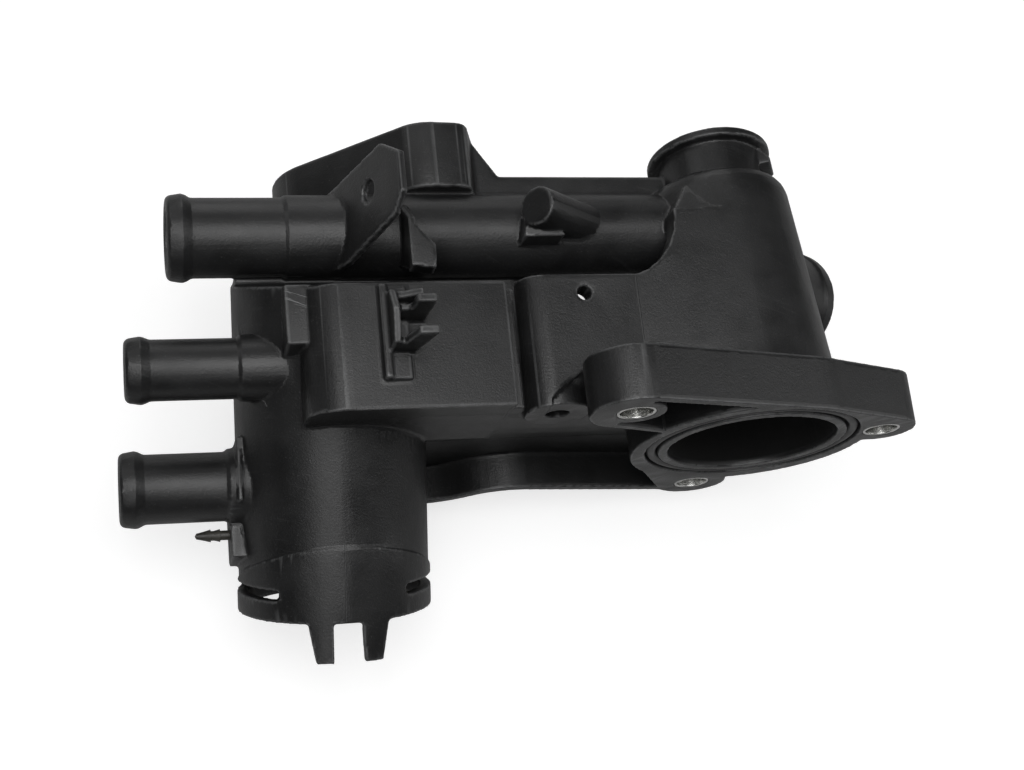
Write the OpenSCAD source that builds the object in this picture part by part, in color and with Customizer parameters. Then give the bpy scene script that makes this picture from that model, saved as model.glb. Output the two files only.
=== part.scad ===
// Thermostat housing, moulded in black plastic, with its wax thermostat.
// X runs along the hose stubs, the engine flange faces -Y, and Z points to the front of the housing.
// The origin is the centre of the flange opening, on the flange face.

/* [Engine flange] */
// Thickness of the engine flange
flange_t = 14; // [12:0.5:16]
// Diameter of the flange opening
port_d = 44.4; // [40:0.2:46]
// Outer diameter of the seal groove
groove_d = 56.4; // [54:0.2:57.6]
// Width of the seal groove
groove_w = 3.4; // [2.6:0.1:4]
// Depth of the seal groove
groove_depth = 2.6; // [1.6:0.1:4]
// Plastic outside the seal groove along the front wall
front_land = 1.4; // [1:0.1:2.4]
// Plastic outside the seal groove elsewhere
ring_land = 3.4; // [2:0.1:5]
// Wall round the cored pocket of the flange
pocket_wall = 2.6; // [2:0.1:3.5]
// Depth of the cored pocket of the flange
pocket_depth = 10; // [6:0.5:11]
// Front bolt, distance to the left
bolt_1_x = -40.6; // [-44:0.1:-38]
// Front bolt, distance to the front
bolt_1_z = 29.4; // [27:0.1:32]
// Right bolt, distance to the right
bolt_2_x = 33.4; // [33:0.1:36]
// Right bolt, distance to the front
bolt_2_z = 7.7; // [6:0.1:10]
// Rear bolt, distance to the left
bolt_3_x = -4; // [-6:0.1:0]
// Rear bolt, distance to the back
bolt_3_z = -38; // [-41:0.1:-36]
// Radius of the front lobe
lobe_1_r = 11.6; // [10:0.1:13]
// Radius of the right lobe
lobe_2_r = 9; // [8:0.1:10]
// Radius of the rear lobe
lobe_3_r = 9.6; // [8.5:0.1:11]

/* [Flange bushes and seal] */
// Outer diameter of a steel bush
bush_d = 9.8; // [9.4:0.1:10.4]
// Bore of a steel bush
bush_bore = 8.2; // [7.6:0.1:8.6]
// Radius rolled on the mouth of a bush
bush_lip = 0.3; // [0.1:0.05:0.35]
// Side clearance of the rubber seal in its groove
seal_gap = 0.1; // [0.05:0.05:0.3]
// How far the crown of the seal lies inside the flange face
seal_sink = 0.2; // [0.1:0.05:0.6]

/* [Column] */
// Height of the column's shoulder above the flange face
column_h = 72; // [68:0.5:76]
// Diameter of the column where it leaves the flange
column_base_d = 49; // [48:0.5:52]
// Diameter of the column at its shoulder
column_top_d = 39; // [37:0.2:41]
// Wall of the column
column_wall = 3.4; // [2.6:0.1:4]

/* [Sensor sockets] */
// Height of the top socket's rim above the column shoulder
socket_h = 10.6; // [9.6:0.2:14]
// Diameter of a socket's rim
socket_rim_d = 34; // [32:0.2:36]
// Thickness of a socket's rim
socket_rim_t = 2.6; // [2:0.1:3.4]
// Diameter of the neck below the rim
socket_neck_d = 28.6; // [27:0.2:30]
// Bore of a socket
socket_bore = 20; // [18:0.1:22]
// Angle by which the top socket leans to the back
socket_lean = 6; // [0:0.5:9]
// Width of the clip window below a socket's rim
clip_window_w = 8.4; // [7:0.2:12]
// Height of the clip window
clip_window_h = 1.6; // [1.2:0.1:2.2]
// Turn of the top socket's clip windows to the front
clip_turn = -27; // [-35:1:-20]
// Width of the clip nub over the top socket's window
clip_nub_w = 8.8; // [7:0.2:10]
// Height of the side socket above the flange face
side_socket_y = 45; // [42:0.5:48]
// Distance of the side socket's rim from the column axis
side_socket_reach = 31; // [30:0.5:36]
// Angle of the side socket towards the back
side_socket_turn = 36; // [30:1:45]
// Diameter of the side socket's rim
side_rim_d = 30; // [29.6:0.2:32]
// Thickness of the side socket's rim
side_rim_t = 4.4; // [3:0.1:5]

/* [Upper duct] */
// Height of the upper duct above the flange face
duct_y = 59.2; // [58:0.1:61]
// Diameter of the upper duct
duct_d = 22; // [21.6:0.1:23]
// Bore of the upper duct
duct_bore = 15.6; // [14:0.1:17]
// Reach of the upper hose stub to the left of the chamber's mouth
duct_reach = 41.6; // [38:0.2:46]
// Length of the upper stub up to its seam
duct_stub_l = 30.2; // [28:0.2:34]
// Diameter of the upper stub
duct_stub_d = 20.4; // [19:0.1:21]
// Diameter over the bead of the upper stub
duct_bead_d = 22.6; // [21.6:0.1:23.4]
// Thickness of the fin on top of the duct
fin_t = 3; // [2:0.1:4]
// Height of the fin's top edge
fin_y = 76; // [74:0.2:78]

/* [Middle and lower stubs] */
// Height of the middle stub
mid_y = 25.2; // [24:0.1:27]
// Distance of the middle stub to the front
mid_z = -3; // [-4:0.1:-1]
// Reach of the middle stub to the left of the chamber's mouth
mid_reach = 52.8; // [50:0.2:56]
// Diameter of the middle stub
mid_stub_d = 15.3; // [14.5:0.1:16]
// Diameter over the bead of the middle stub
mid_bead_d = 17; // [16.4:0.1:17.8]
// Bore of the middle stub
mid_bore = 11; // [10:0.1:12]
// Height of the lower stub
low_y = 0.8; // [0:0.1:2]
// Distance of the lower stub to the front
low_z = -24.5; // [-26:0.1:-23]
// Reach of the lower stub to the left of the chamber's mouth
low_reach = 54.6; // [52:0.2:58]
// Diameter of the lower stub
low_stub_d = 17.8; // [17:0.1:18.5]
// Diameter over the bead of the lower stub
low_bead_d = 19.8; // [19.2:0.1:20.6]
// Bore of the lower stub
low_bore = 13; // [12:0.1:14]
// Length of a hose bead
bead_l = 6.2; // [5:0.1:7]

/* [Thermostat chamber] */
// Distance of the mouth's centre to the left of the flange axis
mouth_left = 106.8; // [104:0.2:110]
// Distance of the mouth's centre below the flange face
mouth_drop = 28.5; // [27.5:0.1:29.5]
// Distance of the mouth's centre behind the flange axis
mouth_back = 39.2; // [38:0.1:40.4]
// Outer diameter of the chamber
chamber_d = 49.4; // [48:0.2:51]
// Length of the chamber from its mouth
chamber_h = 84; // [82:0.5:86]
// How much the sleeve at the mouth stands proud of the chamber
sleeve_step = 0.5; // [0.3:0.1:0.8]
// Bore of the chamber at its mouth
mouth_bore = 44.4; // [43:0.1:45]
// Bore of the chamber behind the thermostat
inner_bore = 40; // [38.6:0.2:41]
// Depth of the thermostat's ledge from the mouth
seat_depth = 24; // [22:0.5:25]
// Angle between the chamber axis and the flange axis
chamber_pitch = 22.6; // [20:0.2:25]
// Sideways lean of the chamber
chamber_lean = 0.5; // [0:0.1:2]
// Length of the two prongs at the mouth
prong_l = 10; // [8:0.2:12]
// Height of the clip slots above the mouth
slot_s = 5.4; // [4.5:0.1:7]
// Height of a clip slot
slot_h = 2.6; // [2:0.1:3.2]

/* [Front passage] */
// Front of the box-shaped passage
box_z = 20; // [19:0.2:22]
// Reach of the box to the left of the chamber's mouth
box_reach = 10.4; // [9.8:0.1:11.2]
// Right edge of the box
box_right_x = -67; // [-69:0.2:-66]
// Lower front edge of the box
box_low_y = 6; // [5:0.2:8]
// Upper front edge of the box
box_top_y = 38.6; // [37:0.2:40]
// Radius of the box's left front edge
box_edge_r = 10; // [8:0.5:12]
// Front of the web beside the box
web_z = 17; // [16:0.2:18.5]
// Thickness of the web
web_t = 7; // [5:0.5:8]
// Radius of the web's left edge
web_edge_r = 6.4; // [4:0.2:6.8]
// Diameter of the hole in the web
web_hole_d = 3.8; // [3:0.1:5]
// Bore of the passage between chamber and column
passage_bore = 20; // [16:0.5:22]

/* [Brackets and bosses] */
// Thickness of the ear with the hole
ear_t = 2; // [1.6:0.1:3]
// Diameter of the hole in the ear
ear_hole_d = 6; // [5:0.1:7]
// Turn of the ear towards the front
ear_turn = 21; // [15:1:27]
// Diameter of the round boss on the duct
button_d = 10.4; // [9:0.1:11]
// Bore of the screw boss
screw_bore = 6; // [5:0.1:6.6]
// Diameter of the screw boss
screw_boss_d = 17; // [15:0.2:18]
// Height of the clip bracket's fins above the box
bracket_fin_h = 13.5; // [11:0.5:16]
// Wall of the rear hood
hood_wall = 2.8; // [2.2:0.1:3.6]
// Height of the rear hood's top
hood_top_y = 88; // [85:0.5:90]
// Diameter of the vent peg's shank
peg_d = 2.5; // [2:0.1:3]

/* [Thermostat] */
// Thickness of the seat plate
plate_t = 1.2; // [1:0.1:1.6]
// Diameter of the valve opening
valve_port_d = 26; // [24:0.2:27]
// Diameter of the valve disc
valve_d = 29.2; // [28:0.1:30]
// Diameter of the wax capsule
capsule_d = 15; // [13:0.1:15.6]
// Diameter of the piston
piston_d = 3.8; // [3:0.1:4.2]
// Radial running clearance of the piston in the capsule
piston_gap = 0.06; // [0.03:0.01:0.1]
// Lift of the valve
valve_lift = 8; // [6:0.5:8.5]
// Clearance between the valve and what it closes on
seat_gap = 0.1; // [0.05:0.05:0.2]
// Wire of the main spring
spring_wire = 2; // [1.6:0.1:2.2]
// Mean diameter of the main spring
spring_d = 23; // [22:0.2:23.4]
// Turns of the main spring
spring_turns = 4.5; // [3.5:0.5:5]

/* [Hidden] */
$fn = 64;
// Reach of a cut past the face it opens
over = 1;
// How far a straight side stays inside the rounds that it joins
graze = 0.03;
plastic = [0.09, 0.09, 0.095];
steel = [0.72, 0.72, 0.74];
rubber = [0.05, 0.05, 0.055];
brass = [0.72, 0.58, 0.30];

// Flange outline
bolts = [[bolt_1_x, bolt_1_z], [bolt_2_x, bolt_2_z], [bolt_3_x, bolt_3_z]];
lobes = [lobe_1_r, lobe_2_r, lobe_3_r];
groove_r = groove_d / 2;
ring_r = groove_r + ring_land;
front_r = groove_r + front_land;

// Chamber frame: the mouth's centre is its origin and its Z runs up into the housing
mouth_x = -mouth_left;
mouth_at = [mouth_x, -mouth_drop, -mouth_back];
sleeve_d = chamber_d + 2 * sleeve_step;
sleeve_top_y = -20.6;
roof_t = 3.5;

// Ends of the stubs, and the box, all placed from the chamber's mouth
duct_end_x = mouth_x - duct_reach;
mid_end_x = mouth_x - mid_reach;
low_end_x = mouth_x - low_reach;
box_left_x = mouth_x - box_reach;

// Height over which the column's shoulder is rounded
shoulder_h = 5;

// Levels of the thermostat along the chamber axis
rim_h = 4;
rim_lip = 1.4;
plate_s = seat_depth - rim_h + rim_lip;
valve_s = plate_s + plate_t + seat_gap;
gasket_t = 0.8;
disc_s = valve_s + gasket_t;
disc_t = 1.2;
cage_h = 22;
frame_s = disc_s + disc_t + cage_h;
frame_t = 1.4;
capsule_s = disc_s + disc_t;
crown_h = 9;
capsule_top_s = frame_s + crown_h;
stem_d = 5;
bypass_gap = 9.6;
bypass_s = capsule_top_s + bypass_gap;
bypass_r = capsule_d * 0.6;
piston_depth = capsule_d * 1.1;
guide_h = 3;
guide_r = 4.4;
bypass_t = 1.2;
clip_t = 0.8;
stem_top_s = bypass_s + bypass_t + clip_t + 1.4;
bridge_h = 9;
bridge_s = plate_s - bridge_h;
bridge_t = 1.4;
plate_r = mouth_bore / 2 - 1.6;
rim_inner_r = plate_r - 2.4;
leg_r = valve_d / 2 + 1;
leg_w = 8;
jiggle_r = rim_inner_r - 1.4;
jiggle_d = 1.6;

// Rear hood: centre and radius of each corner, in X and Z
hood_nose = [mouth_x + 33.3, 4.5];
hood_brow = [mouth_x + 27.3, -1.5];
hood_left = [mouth_x + 8.3, -30.5];
hood_right = [mouth_x + 40.8, -33];
hood_rounds = [4.6, 11, 18.6, 10];
hood_low_y = 69.4;

// A point of the plan, given in X and Z, in the drawing plane of plan()
function pl(p) = [p[0], -p[1]];

function unit(v) = v / norm(v);

// Points along an arc
function arc(centre, r, from, to, steps = 8) =
    [for (i = [0 : steps]) let (a = from + (to - from) * i / steps) centre + r * [cos(a), sin(a)]];

// Radius of the tapered column at a height
function column_r(y) =
    let (foot = flange_t - over, f = (y - foot) / (column_h - shoulder_h - foot))
    column_base_d / 2 + f * (column_top_d - column_base_d) / 2;

// Outward normal of the common tangent of two circles, on the left or right of the line between them
function tangent_normal(a, ra, b, rb, side) =
    let (d = unit(b - a), k = (ra - rb) / norm(b - a), q = side * sqrt(1 - k * k))
    [d[0] * k - d[1] * q, d[1] * k + d[0] * q];

// Draws in X and Z, and extrudes along Y
module plan(from_y, to_y) {
    translate([0, from_y, 0])
        rotate([-90, 0, 0])
            linear_extrude(to_y - from_y)
                children();
}

// Draws in Y and Z, and extrudes along X
module side(from_x, to_x) {
    translate([from_x, 0, 0])
        rotate([90, 0, 90])
            linear_extrude(to_x - from_x)
                children();
}

module bar_x(from_x, to_x, y, z, d) {
    translate([from_x, y, z])
        rotate([0, 90, 0])
            cylinder(d = d, h = to_x - from_x);
}

module bar_y(from_y, to_y, x, z, d) {
    translate([x, from_y, z])
        rotate([-90, 0, 0])
            cylinder(d = d, h = to_y - from_y);
}

// Two discs and the strip between their common tangents
module link(a, ra, b, rb) {
    p = pl(a);
    q = pl(b);
    left = tangent_normal(p, ra, q, rb, 1);
    right = tangent_normal(p, ra, q, rb, -1);
    translate(p)
        circle(r = ra);
    translate(q)
        circle(r = rb);
    polygon([p + (ra - graze) * left, q + (rb - graze) * left,
             q + (rb - graze) * right, p + (ra - graze) * right]);
}

// Arm from the ring to a lobe, flush with the ring's front tangent
module lobe_arm(bolt, lobe_r, reach, side, inset = 0) {
    p = pl(bolt);
    n = tangent_normal(p, lobe_r, [0, 0], reach, side);
    in = inset + graze;
    polygon([p + (lobe_r - in) * n, (reach - in) * n, [0, 0], p - (lobe_r - in) * n]);
}

module at_chamber() {
    translate(mouth_at)
        rotate([chamber_pitch - 90, 0, chamber_lean])
            children();
}

module at_top_socket() {
    translate([0, column_h, 0])
        rotate([-90 - socket_lean, 0, 0])
            children();
}

module at_side_socket() {
    translate([0, side_socket_y, 0])
        rotate([0, 90 + side_socket_turn, 0])
            rotate(90)
                children();
}

// Hose stub along +Z: rounded lead-in, bead, step and tube
module hose_stub(tube_d, bead_d, length) {
    bead_r = bead_d / 2;
    nose_r = 1.6;
    rotate_extrude()
        polygon(concat(
            [[0, 0]],
            arc([bead_r - nose_r - 0.4, nose_r], nose_r, -90, -15, 5),
            [[bead_r, bead_l - 2.2], [bead_r - 0.3, bead_l - 1.2], [tube_d / 2, bead_l],
             [tube_d / 2, length], [0, length]]));
}

module flange_outline() {
    translate(pl([0, front_r - ring_r]))
        circle(r = ring_r);
    for (i = [0 : 2])
        translate(pl(bolts[i]))
            circle(r = lobes[i]);
    lobe_arm(bolts[0], lobe_1_r, front_r, -1);
    lobe_arm(bolts[1], lobe_2_r, front_r, 1);
    lobe_arm(bolts[2], lobe_3_r, ring_r, -1);
}

module flange_pocket() {
    boss_r = bush_d / 2 + pocket_wall;
    difference() {
        lobe_arm(bolts[0], lobe_1_r, front_r, -1, pocket_wall);
        circle(r = ring_r);
        translate(pl(bolts[0]))
            circle(r = boss_r);
    }
}

module column_solid() {
    shoulder_r = socket_neck_d / 2 - 1;
    rotate([-90, 0, 0])
        rotate_extrude()
            polygon([[0, flange_t - over], [column_base_d / 2, flange_t - over],
                     [column_top_d / 2, column_h - shoulder_h],
                     [column_top_d / 2 - 0.6, column_h - 0.6 * shoulder_h],
                     [column_top_d / 2 - 2, column_h - 0.2 * shoulder_h],
                     [shoulder_r, column_h + 0.6], [0, column_h + 0.6]]);
}

// Tapered core of the column, open at the flange
module column_core() {
    base_r = min(port_d / 2, column_base_d / 2 - column_wall);
    top_r = column_top_d / 2 - column_wall;
    rotate([-90, 0, 0])
        rotate_extrude()
            polygon([[0, -over], [port_d / 2, -over], [port_d / 2, flange_t * 0.6], [base_r - 0.6, flange_t],
                     [top_r, column_h - shoulder_h - 3], [top_r - 2, column_h - shoulder_h],
                     [0, column_h - shoulder_h]]);
}

// Plug-in socket along +Z from the wall it grows out of
module socket_solid(root, height, rim_d, rim_t) {
    neck_r = socket_neck_d / 2;
    rim_r = rim_d / 2;
    rotate_extrude()
        polygon([[0, root], [neck_r, root], [neck_r, height - rim_t], [rim_r - 0.3, height - rim_t],
                 [rim_r, height - rim_t + 0.3], [rim_r, height - 0.6], [rim_r - 0.6, height], [0, height]]);
}

// Clip nub that stands out of the top socket's neck, over its window
module clip_nub() {
    low = socket_h - socket_rim_t - 5.2;
    neck_r = socket_neck_d / 2;
    reach = neck_r + 2.6;
    rotate(clip_turn)
        translate([0, clip_nub_w / 2, 0])
            rotate([90, 0, 0])
                linear_extrude(clip_nub_w)
                    polygon([[neck_r - 2, low], [reach, low], [reach, low + 1.6], [neck_r + 0.4, low + 4.6],
                             [neck_r - 2, low + 4.6]]);
}

// Bore of a socket with its lead-in and two clip windows, the tops of which lie below the rim by a drop
module socket_cut(root, height, rim_t, turn, drop) {
    lead = 1.6;
    window_depth = 2.2;
    window_z = height - rim_t - drop - clip_window_h;
    rotate_extrude()
        polygon([[0, root], [socket_bore / 2, root], [socket_bore / 2, height - lead],
                 [socket_bore / 2 + lead, height], [socket_bore / 2 + lead, height + over],
                 [0, height + over]]);
    for (half = [0, 180])
        rotate(turn + half)
            translate([socket_neck_d / 2 - window_depth, -clip_window_w / 2, window_z])
                cube([window_depth + 2, clip_window_w, clip_window_h]);
}

// Upper duct with its hose stub, from the left end to the column
module duct_solid() {
    seam_d = duct_stub_d + 1.2;
    neck_l = 15.4;
    translate([duct_end_x, duct_y, 0])
        rotate([0, 90, 0])
            hose_stub(duct_stub_d, duct_bead_d, duct_stub_l);
    bar_x(duct_end_x + duct_stub_l - 0.5, duct_end_x + duct_stub_l + neck_l, duct_y, 0, seam_d);
    bar_x(duct_end_x + duct_stub_l + neck_l - over, -4, duct_y, 0, duct_d);
}

// Fin on top of the duct, drawn up at its left end to the hood
module fin() {
    left_x = hood_nose[0] + 5.4;
    gusset_l = 7.2;
    translate([0, 0, -fin_t / 2])
        linear_extrude(fin_t)
            polygon([[left_x, duct_y], [-12, duct_y], [-12, fin_y], [left_x + gusset_l, fin_y],
                     [left_x, hood_top_y - 0.8]]);
}

// Round boss that runs at a slant into the duct, with a small gusset below
module button_boss() {
    slant = 127;
    face = [-56.4, duct_y + 0.2, 19];
    translate(face)
        rotate([0, slant, 0])
            cylinder(d = button_d, h = 32);
    translate([0, 0, 4])
        linear_extrude(11.5)
            polygon([[face[0] - 3, duct_y - 6.6], [face[0] + 8, duct_y - 6.4], [face[0] + 4, duct_y],
                     [face[0] - 2, duct_y]]);
}

// Ear that stands out in front of the duct
module ear() {
    foot_x = mouth_x - 1.2;
    hole = [62.3, 22.7];
    outline = [[70, 0], [72.2, 29.9], [66.5, 38.2], [56, 38.2], [51.4, 33.7], [48, 10], [48.6, 0]];
    translate([foot_x, 0, 0])
        rotate([0, ear_turn, 0])
            difference() {
                side(0, ear_t)
                    polygon(outline);
                translate([0, hole[0], hole[1]])
                    bar_x(-over, ear_t + over, 0, 0, ear_hole_d);
            }
}

// Hook beside the ear: a block in front of the duct on a plate that runs up onto the duct
module hook() {
    left_x = mouth_x + 16.8;
    front_t = 5;
    plate_t = 1.8;
    translate([left_x, 0, box_z - front_t])
        linear_extrude(front_t)
            polygon([[0, 43.1], [6.2, 42.3], [6.5, 48.7], [3.2, 52.3], [1, 55.9], [0, 56.4]]);
    side(left_x + 0.1, left_x + plate_t)
        polygon([[43.3, box_z - 0.2], [56, box_z - 0.2], [66, 7], [60, 2], [50, 2], [43.3, box_z - 4]]);
}

// Box-shaped front of the passage: side profile crossed with a rounded plan
module box_solid() {
    back_z = -14;
    sill = passage_low - 0.1;
    corner = [box_left_x + box_edge_r, box_z - box_edge_r];
    intersection() {
        side(box_left_x - over, box_right_x)
            polygon([[box_low_y, box_z], [box_top_y, box_z], [box_top_y + 5, back_z], [sill, back_z],
                     [sill, 0], [sill - 0.4, 8]]);
        plan(-10, 60)
            polygon(concat([for (p = arc(corner, box_edge_r, 90, 180)) pl(p)],
                           [pl([box_left_x, back_z - over]), pl([box_right_x + over, back_z - over]),
                            pl([box_right_x + over, box_z])]));
    }
}

// Wall between the box and the duct above it
module saddle() {
    left_x = mouth_x - 24.4;
    right_x = web_left_x + 3.9;
    translate([left_x, 34, -14])
        cube([right_x - left_x, 18, 10]);
}

// Clip bracket on the box: a rail and a pad, two fins that stand on them, a wall and a gusset
module clip_bracket() {
    sink = 1;
    rail_t = 1.9;
    pad_w = 6.8;
    fin_w = 4.9;
    arm_t = 2;
    wall_t = 1.8;
    tip = bracket_fin_h;
    translate([mouth_x + 7.6, 0, box_z]) {
        side(0, rail_t)
            polygon([[13.2, -sink], [38, -sink], [37.6, 2], [13.4, 2]]);
        translate([rail_t - 0.2, 13.4, -sink])
            cube([pad_w - rail_t, 23.4, sink + 0.8]);
        plan(20.2, 20.2 + arm_t)
            polygon([pl([2.4, -sink]), pl([7.8, -sink]), pl([7 + fin_w, tip]), pl([7, tip])]);
        plan(28.2, 28.2 + arm_t)
            polygon([pl([6, -sink]), pl([6 + fin_w, -sink]), pl([7 + fin_w, tip]), pl([7, tip])]);
        plan(33, 33 + arm_t)
            polygon([pl([1.8, -sink]), pl([6 + fin_w, -sink]), pl([10.2, 6]), pl([5, 3.4]), pl([1.8, 5])]);
        side(rail_t - 0.1, rail_t + wall_t)
            polygon([[20.4, -sink], [34.8, -sink], [34.8, 4.6], [29, 8.6], [20.4, 6.6]]);
        plan(28.4, 30)
            polygon([pl([2, -sink]), pl([7, -sink]), pl([7.4, 8]), pl([2, 6])]);
    }
}

// Web between box, column and flange, with its rounded left edge and slanting lower edge
web_left_x = -62.4;
web_right_x = -8;
web_top_y = 41.4;
module web() {
    edge_r = min(web_edge_r, web_t - 0.2);
    back_z = web_z - web_t;
    intersection() {
        translate([0, 0, back_z - over])
            linear_extrude(web_t + 2 * over)
                polygon([[web_left_x - over, web_top_y], [web_right_x, web_top_y], [web_right_x, 10],
                         [-36, 21.4], [-44, 19.4], [-57.6, 8.6], [-57.6, 6.6], [web_left_x - over, 6.6]]);
        plan(-5, 60)
            polygon(concat([for (p = arc([web_left_x + edge_r, web_z - edge_r], edge_r, 90, 180)) pl(p)],
                           [pl([web_left_x, back_z]), pl([web_right_x, back_z]), pl([web_right_x, web_z])]));
    }
}

// Fairing that rises from a crease on the web and runs tangentially onto the column's front
module fairing() {
    crease = [-32, web_z];
    bite = 0.15;
    levels = [9, 22, 34, 46, 60];
    n = len(levels);
    function touch(y) = let (r = column_r(y) - bite, a = atan2(crease[1], crease[0]) - acos(r / norm(crease)))
        r * [cos(a), sin(a)];
    function slice(y) = let (t = touch(y), root = crease + 0.08 * (crease - t))
        [[root[0], y, root[1]], [t[0], y, t[1]], [t[0] / 2, y, t[1] / 2], [root[0], y, root[1] - 5]];
    points = [for (y = levels) each slice(y)];
    walls = [for (i = [0 : n - 2], k = [0 : 3]) let (m = (k + 1) % 4)
        each [[4 * i + k, 4 * i + 4 + m, 4 * i + m], [4 * i + k, 4 * i + 4 + k, 4 * i + 4 + m]]];
    ends = [[0, 1, 2, 3], [for (k = [0 : 3]) 4 * n - 1 - k]];
    intersection() {
        polyhedron(points, concat(walls, ends));
        linear_extrude(40)
            polygon([[-36, 21.6], [-36, 40.8], [-32, 41], [-28, 42.6], [-24.8, 45], [-22, 48.6], [-20, 53],
                     [-19.4, 59], [-1, 59], [-1, 10]]);
    }
}

// Floor of the groove between box and web
module groove_floor() {
    floor_z = passage_front + 0.5;
    translate([box_right_x - 3, passage_low + 0.6, floor_z - 6])
        cube([8, 32, 6]);
}

// Rounded body of the passage between chamber and column, faired at its lower back into the floor
passage_low = 8;
passage_front = 8.6;
module passage_solid() {
    high = 36;
    back = -22;
    r = 6;
    low = passage_low;
    front = passage_front;
    side(mouth_x + 2.8, -6)
        polygon(concat(arc([high - r, front - r], r, 0, 90, 4), arc([low + r, front - r], r, 90, 180, 4),
                       [[low, -6], [low + 0.5, -12], [low + 1.5, -18], [low + 2.7, -24.4], [low + 7, -23.4]],
                       arc([high - r, back + r], r, 270, 360, 4)));
}

module screw_boss() {
    bar_y(7.2, 20, -54, 7.6, screw_boss_d);
}

// Floor behind the passage, and the curved skirt along its rear edge
module skirt() {
    t = 3;
    h = 13.8;
    lift = 0.4;
    bend_1 = [-54.2, -57.8];
    r_1 = 20;
    start = 78;
    turn = 132;
    r_2 = 25;
    bend_2 = bend_1 + (r_1 + r_2) * [cos(turn), sin(turn)];
    stop = 274;
    right = [bolt_3_x + 2, bolt_3_z - lobe_3_r + 0.6];
    left = [mouth_x + 0.8, mouth_at[2] - 9.4];
    front = concat([right + [0, t]], arc(bend_1, r_1 + t / 2, start, turn),
                   arc(bend_2, r_2 - t / 2, turn + 180, stop), [left + [0, t]]);
    back = concat([left], arc(bend_2, r_2 + t / 2, stop, turn + 180), arc(bend_1, r_1 - t / 2, turn, start),
                  [right]);
    plan(lift, h)
        polygon([for (p = concat(front, back)) pl(p)]);
    plan(h - t - 0.4, h - 0.4)
        polygon([for (p = concat(front, [[left[0], -10], [-8, -10]])) pl(p)]);
}

module hood_outline(inset) {
    corners = [hood_nose, hood_brow, hood_left, hood_right];
    rounds = [for (r = hood_rounds) r - min(inset, r * 0.6)];
    for (i = [0 : 3])
        link(corners[i], rounds[i], corners[(i + 1) % 4], rounds[(i + 1) % 4]);
    polygon([for (c = corners) pl(c)]);
}

// Rear hood on its tower, cored from above
module hood() {
    rib_x = mouth_x + 22.8;
    difference() {
        plan(hood_low_y, hood_top_y)
            hood_outline(0);
        plan(hood_low_y + hood_wall, hood_top_y + over)
            hood_outline(hood_wall);
    }
    translate([rib_x - hood_wall / 2, hood_low_y + over, -34])
        cube([hood_wall, hood_top_y - hood_low_y - 4, 34]);
    plan(30, hood_low_y + over)
        link(hood_left, 15, hood_right, 7);
}

module chamber_solid() {
    at_chamber()
        cylinder(d = chamber_d, h = chamber_h);
    intersection() {
        at_chamber()
            cylinder(d = sleeve_d, h = 48);
        translate([mouth_at[0] - 40, sleeve_top_y - 60, mouth_at[2] - 50])
            cube([80, 60, 100]);
    }
    at_chamber()
        prongs();
}

// Two tapered prongs that continue the front wall of the mouth
module prongs() {
    wall = (sleeve_d - mouth_bore) / 2 - 0.4;
    intersection() {
        translate([0, -sleeve_d / 2 + 12, 0])
            rotate([90, 0, 0])
                linear_extrude(16) {
                    polygon([[-10, 2], [-3.9, 2], [-3.9, -prong_l], [-8.2, -prong_l], [-10, 0]]);
                    polygon([[3.2, 2], [10.4, 2], [10.4, 0], [8.6, -prong_l], [3.8, -prong_l]]);
                }
        translate([0, 0, -prong_l - over])
            difference() {
                cylinder(d = sleeve_d - 0.2, h = prong_l + 6);
                translate([0, 0, -over])
                    cylinder(d = sleeve_d - 2 * wall, h = prong_l + 10);
            }
    }
}

// Space inside the chamber, the thermostat's ledge and the clip slots
module chamber_cut() {
    lead = 1.2;
    slot_reach = 8;
    at_chamber() {
        rotate_extrude()
            polygon([[0, -over], [mouth_bore / 2 + lead, -over], [mouth_bore / 2 + lead, 0],
                     [mouth_bore / 2, lead], [mouth_bore / 2, seat_depth], [inner_bore / 2, seat_depth],
                     [inner_bore / 2, chamber_h - roof_t - 3], [inner_bore / 2 - 3, chamber_h - roof_t],
                     [0, chamber_h - roof_t]]);
        translate([-sleeve_d, -sleeve_d, slot_s])
            cube([sleeve_d - 16.4, sleeve_d + slot_reach, slot_h]);
        translate([15.4, -sleeve_d, slot_s])
            cube([sleeve_d, sleeve_d + slot_reach, slot_h]);
    }
}

module middle_stub() {
    length = 28.4;
    translate([mid_end_x, mid_y, mid_z])
        rotate([0, 90, 0])
            hose_stub(mid_stub_d, mid_bead_d, length);
    bar_x(mid_end_x + length - 0.5, mouth_x - 5.2, mid_y, mid_z, mid_stub_d + 1.4);
}

module lower_stub() {
    length = 28.4;
    translate([low_end_x, low_y, low_z])
        rotate([0, 90, 0])
            hose_stub(low_stub_d, low_bead_d, length);
    bar_x(low_end_x + length - 1.4, mouth_x - 5.2, low_y, low_z, low_stub_d + 1.6);
}

// Pad and rib at the root of the lower stub, drawn down into the lug that carries the vent peg
lug_face_x = mouth_x - 27.2;
lug_mid = [low_y - 11.6, low_z - 4.9];
module lug() {
    pad_x = lug_face_x + 2;
    rib_t = 1.1;
    rear_z = low_z - 11.6;
    translate([lug_face_x, low_y - 18.4, rear_z])
        cube([12, 13, 11.4]);
    translate([pad_x, low_y - 6.4, rear_z])
        cube([12, 16.8, 14.6]);
    translate([pad_x - 0.4, low_y - 6.4, rear_z])
        cube([rib_t, 16.8, 21.6]);
}

// Flat tab beside the box, under the upper stub
module tab() {
    translate([mouth_x - 14.5, 24.8, -6])
        cube([6.6, 15.6, 21]);
}

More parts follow.
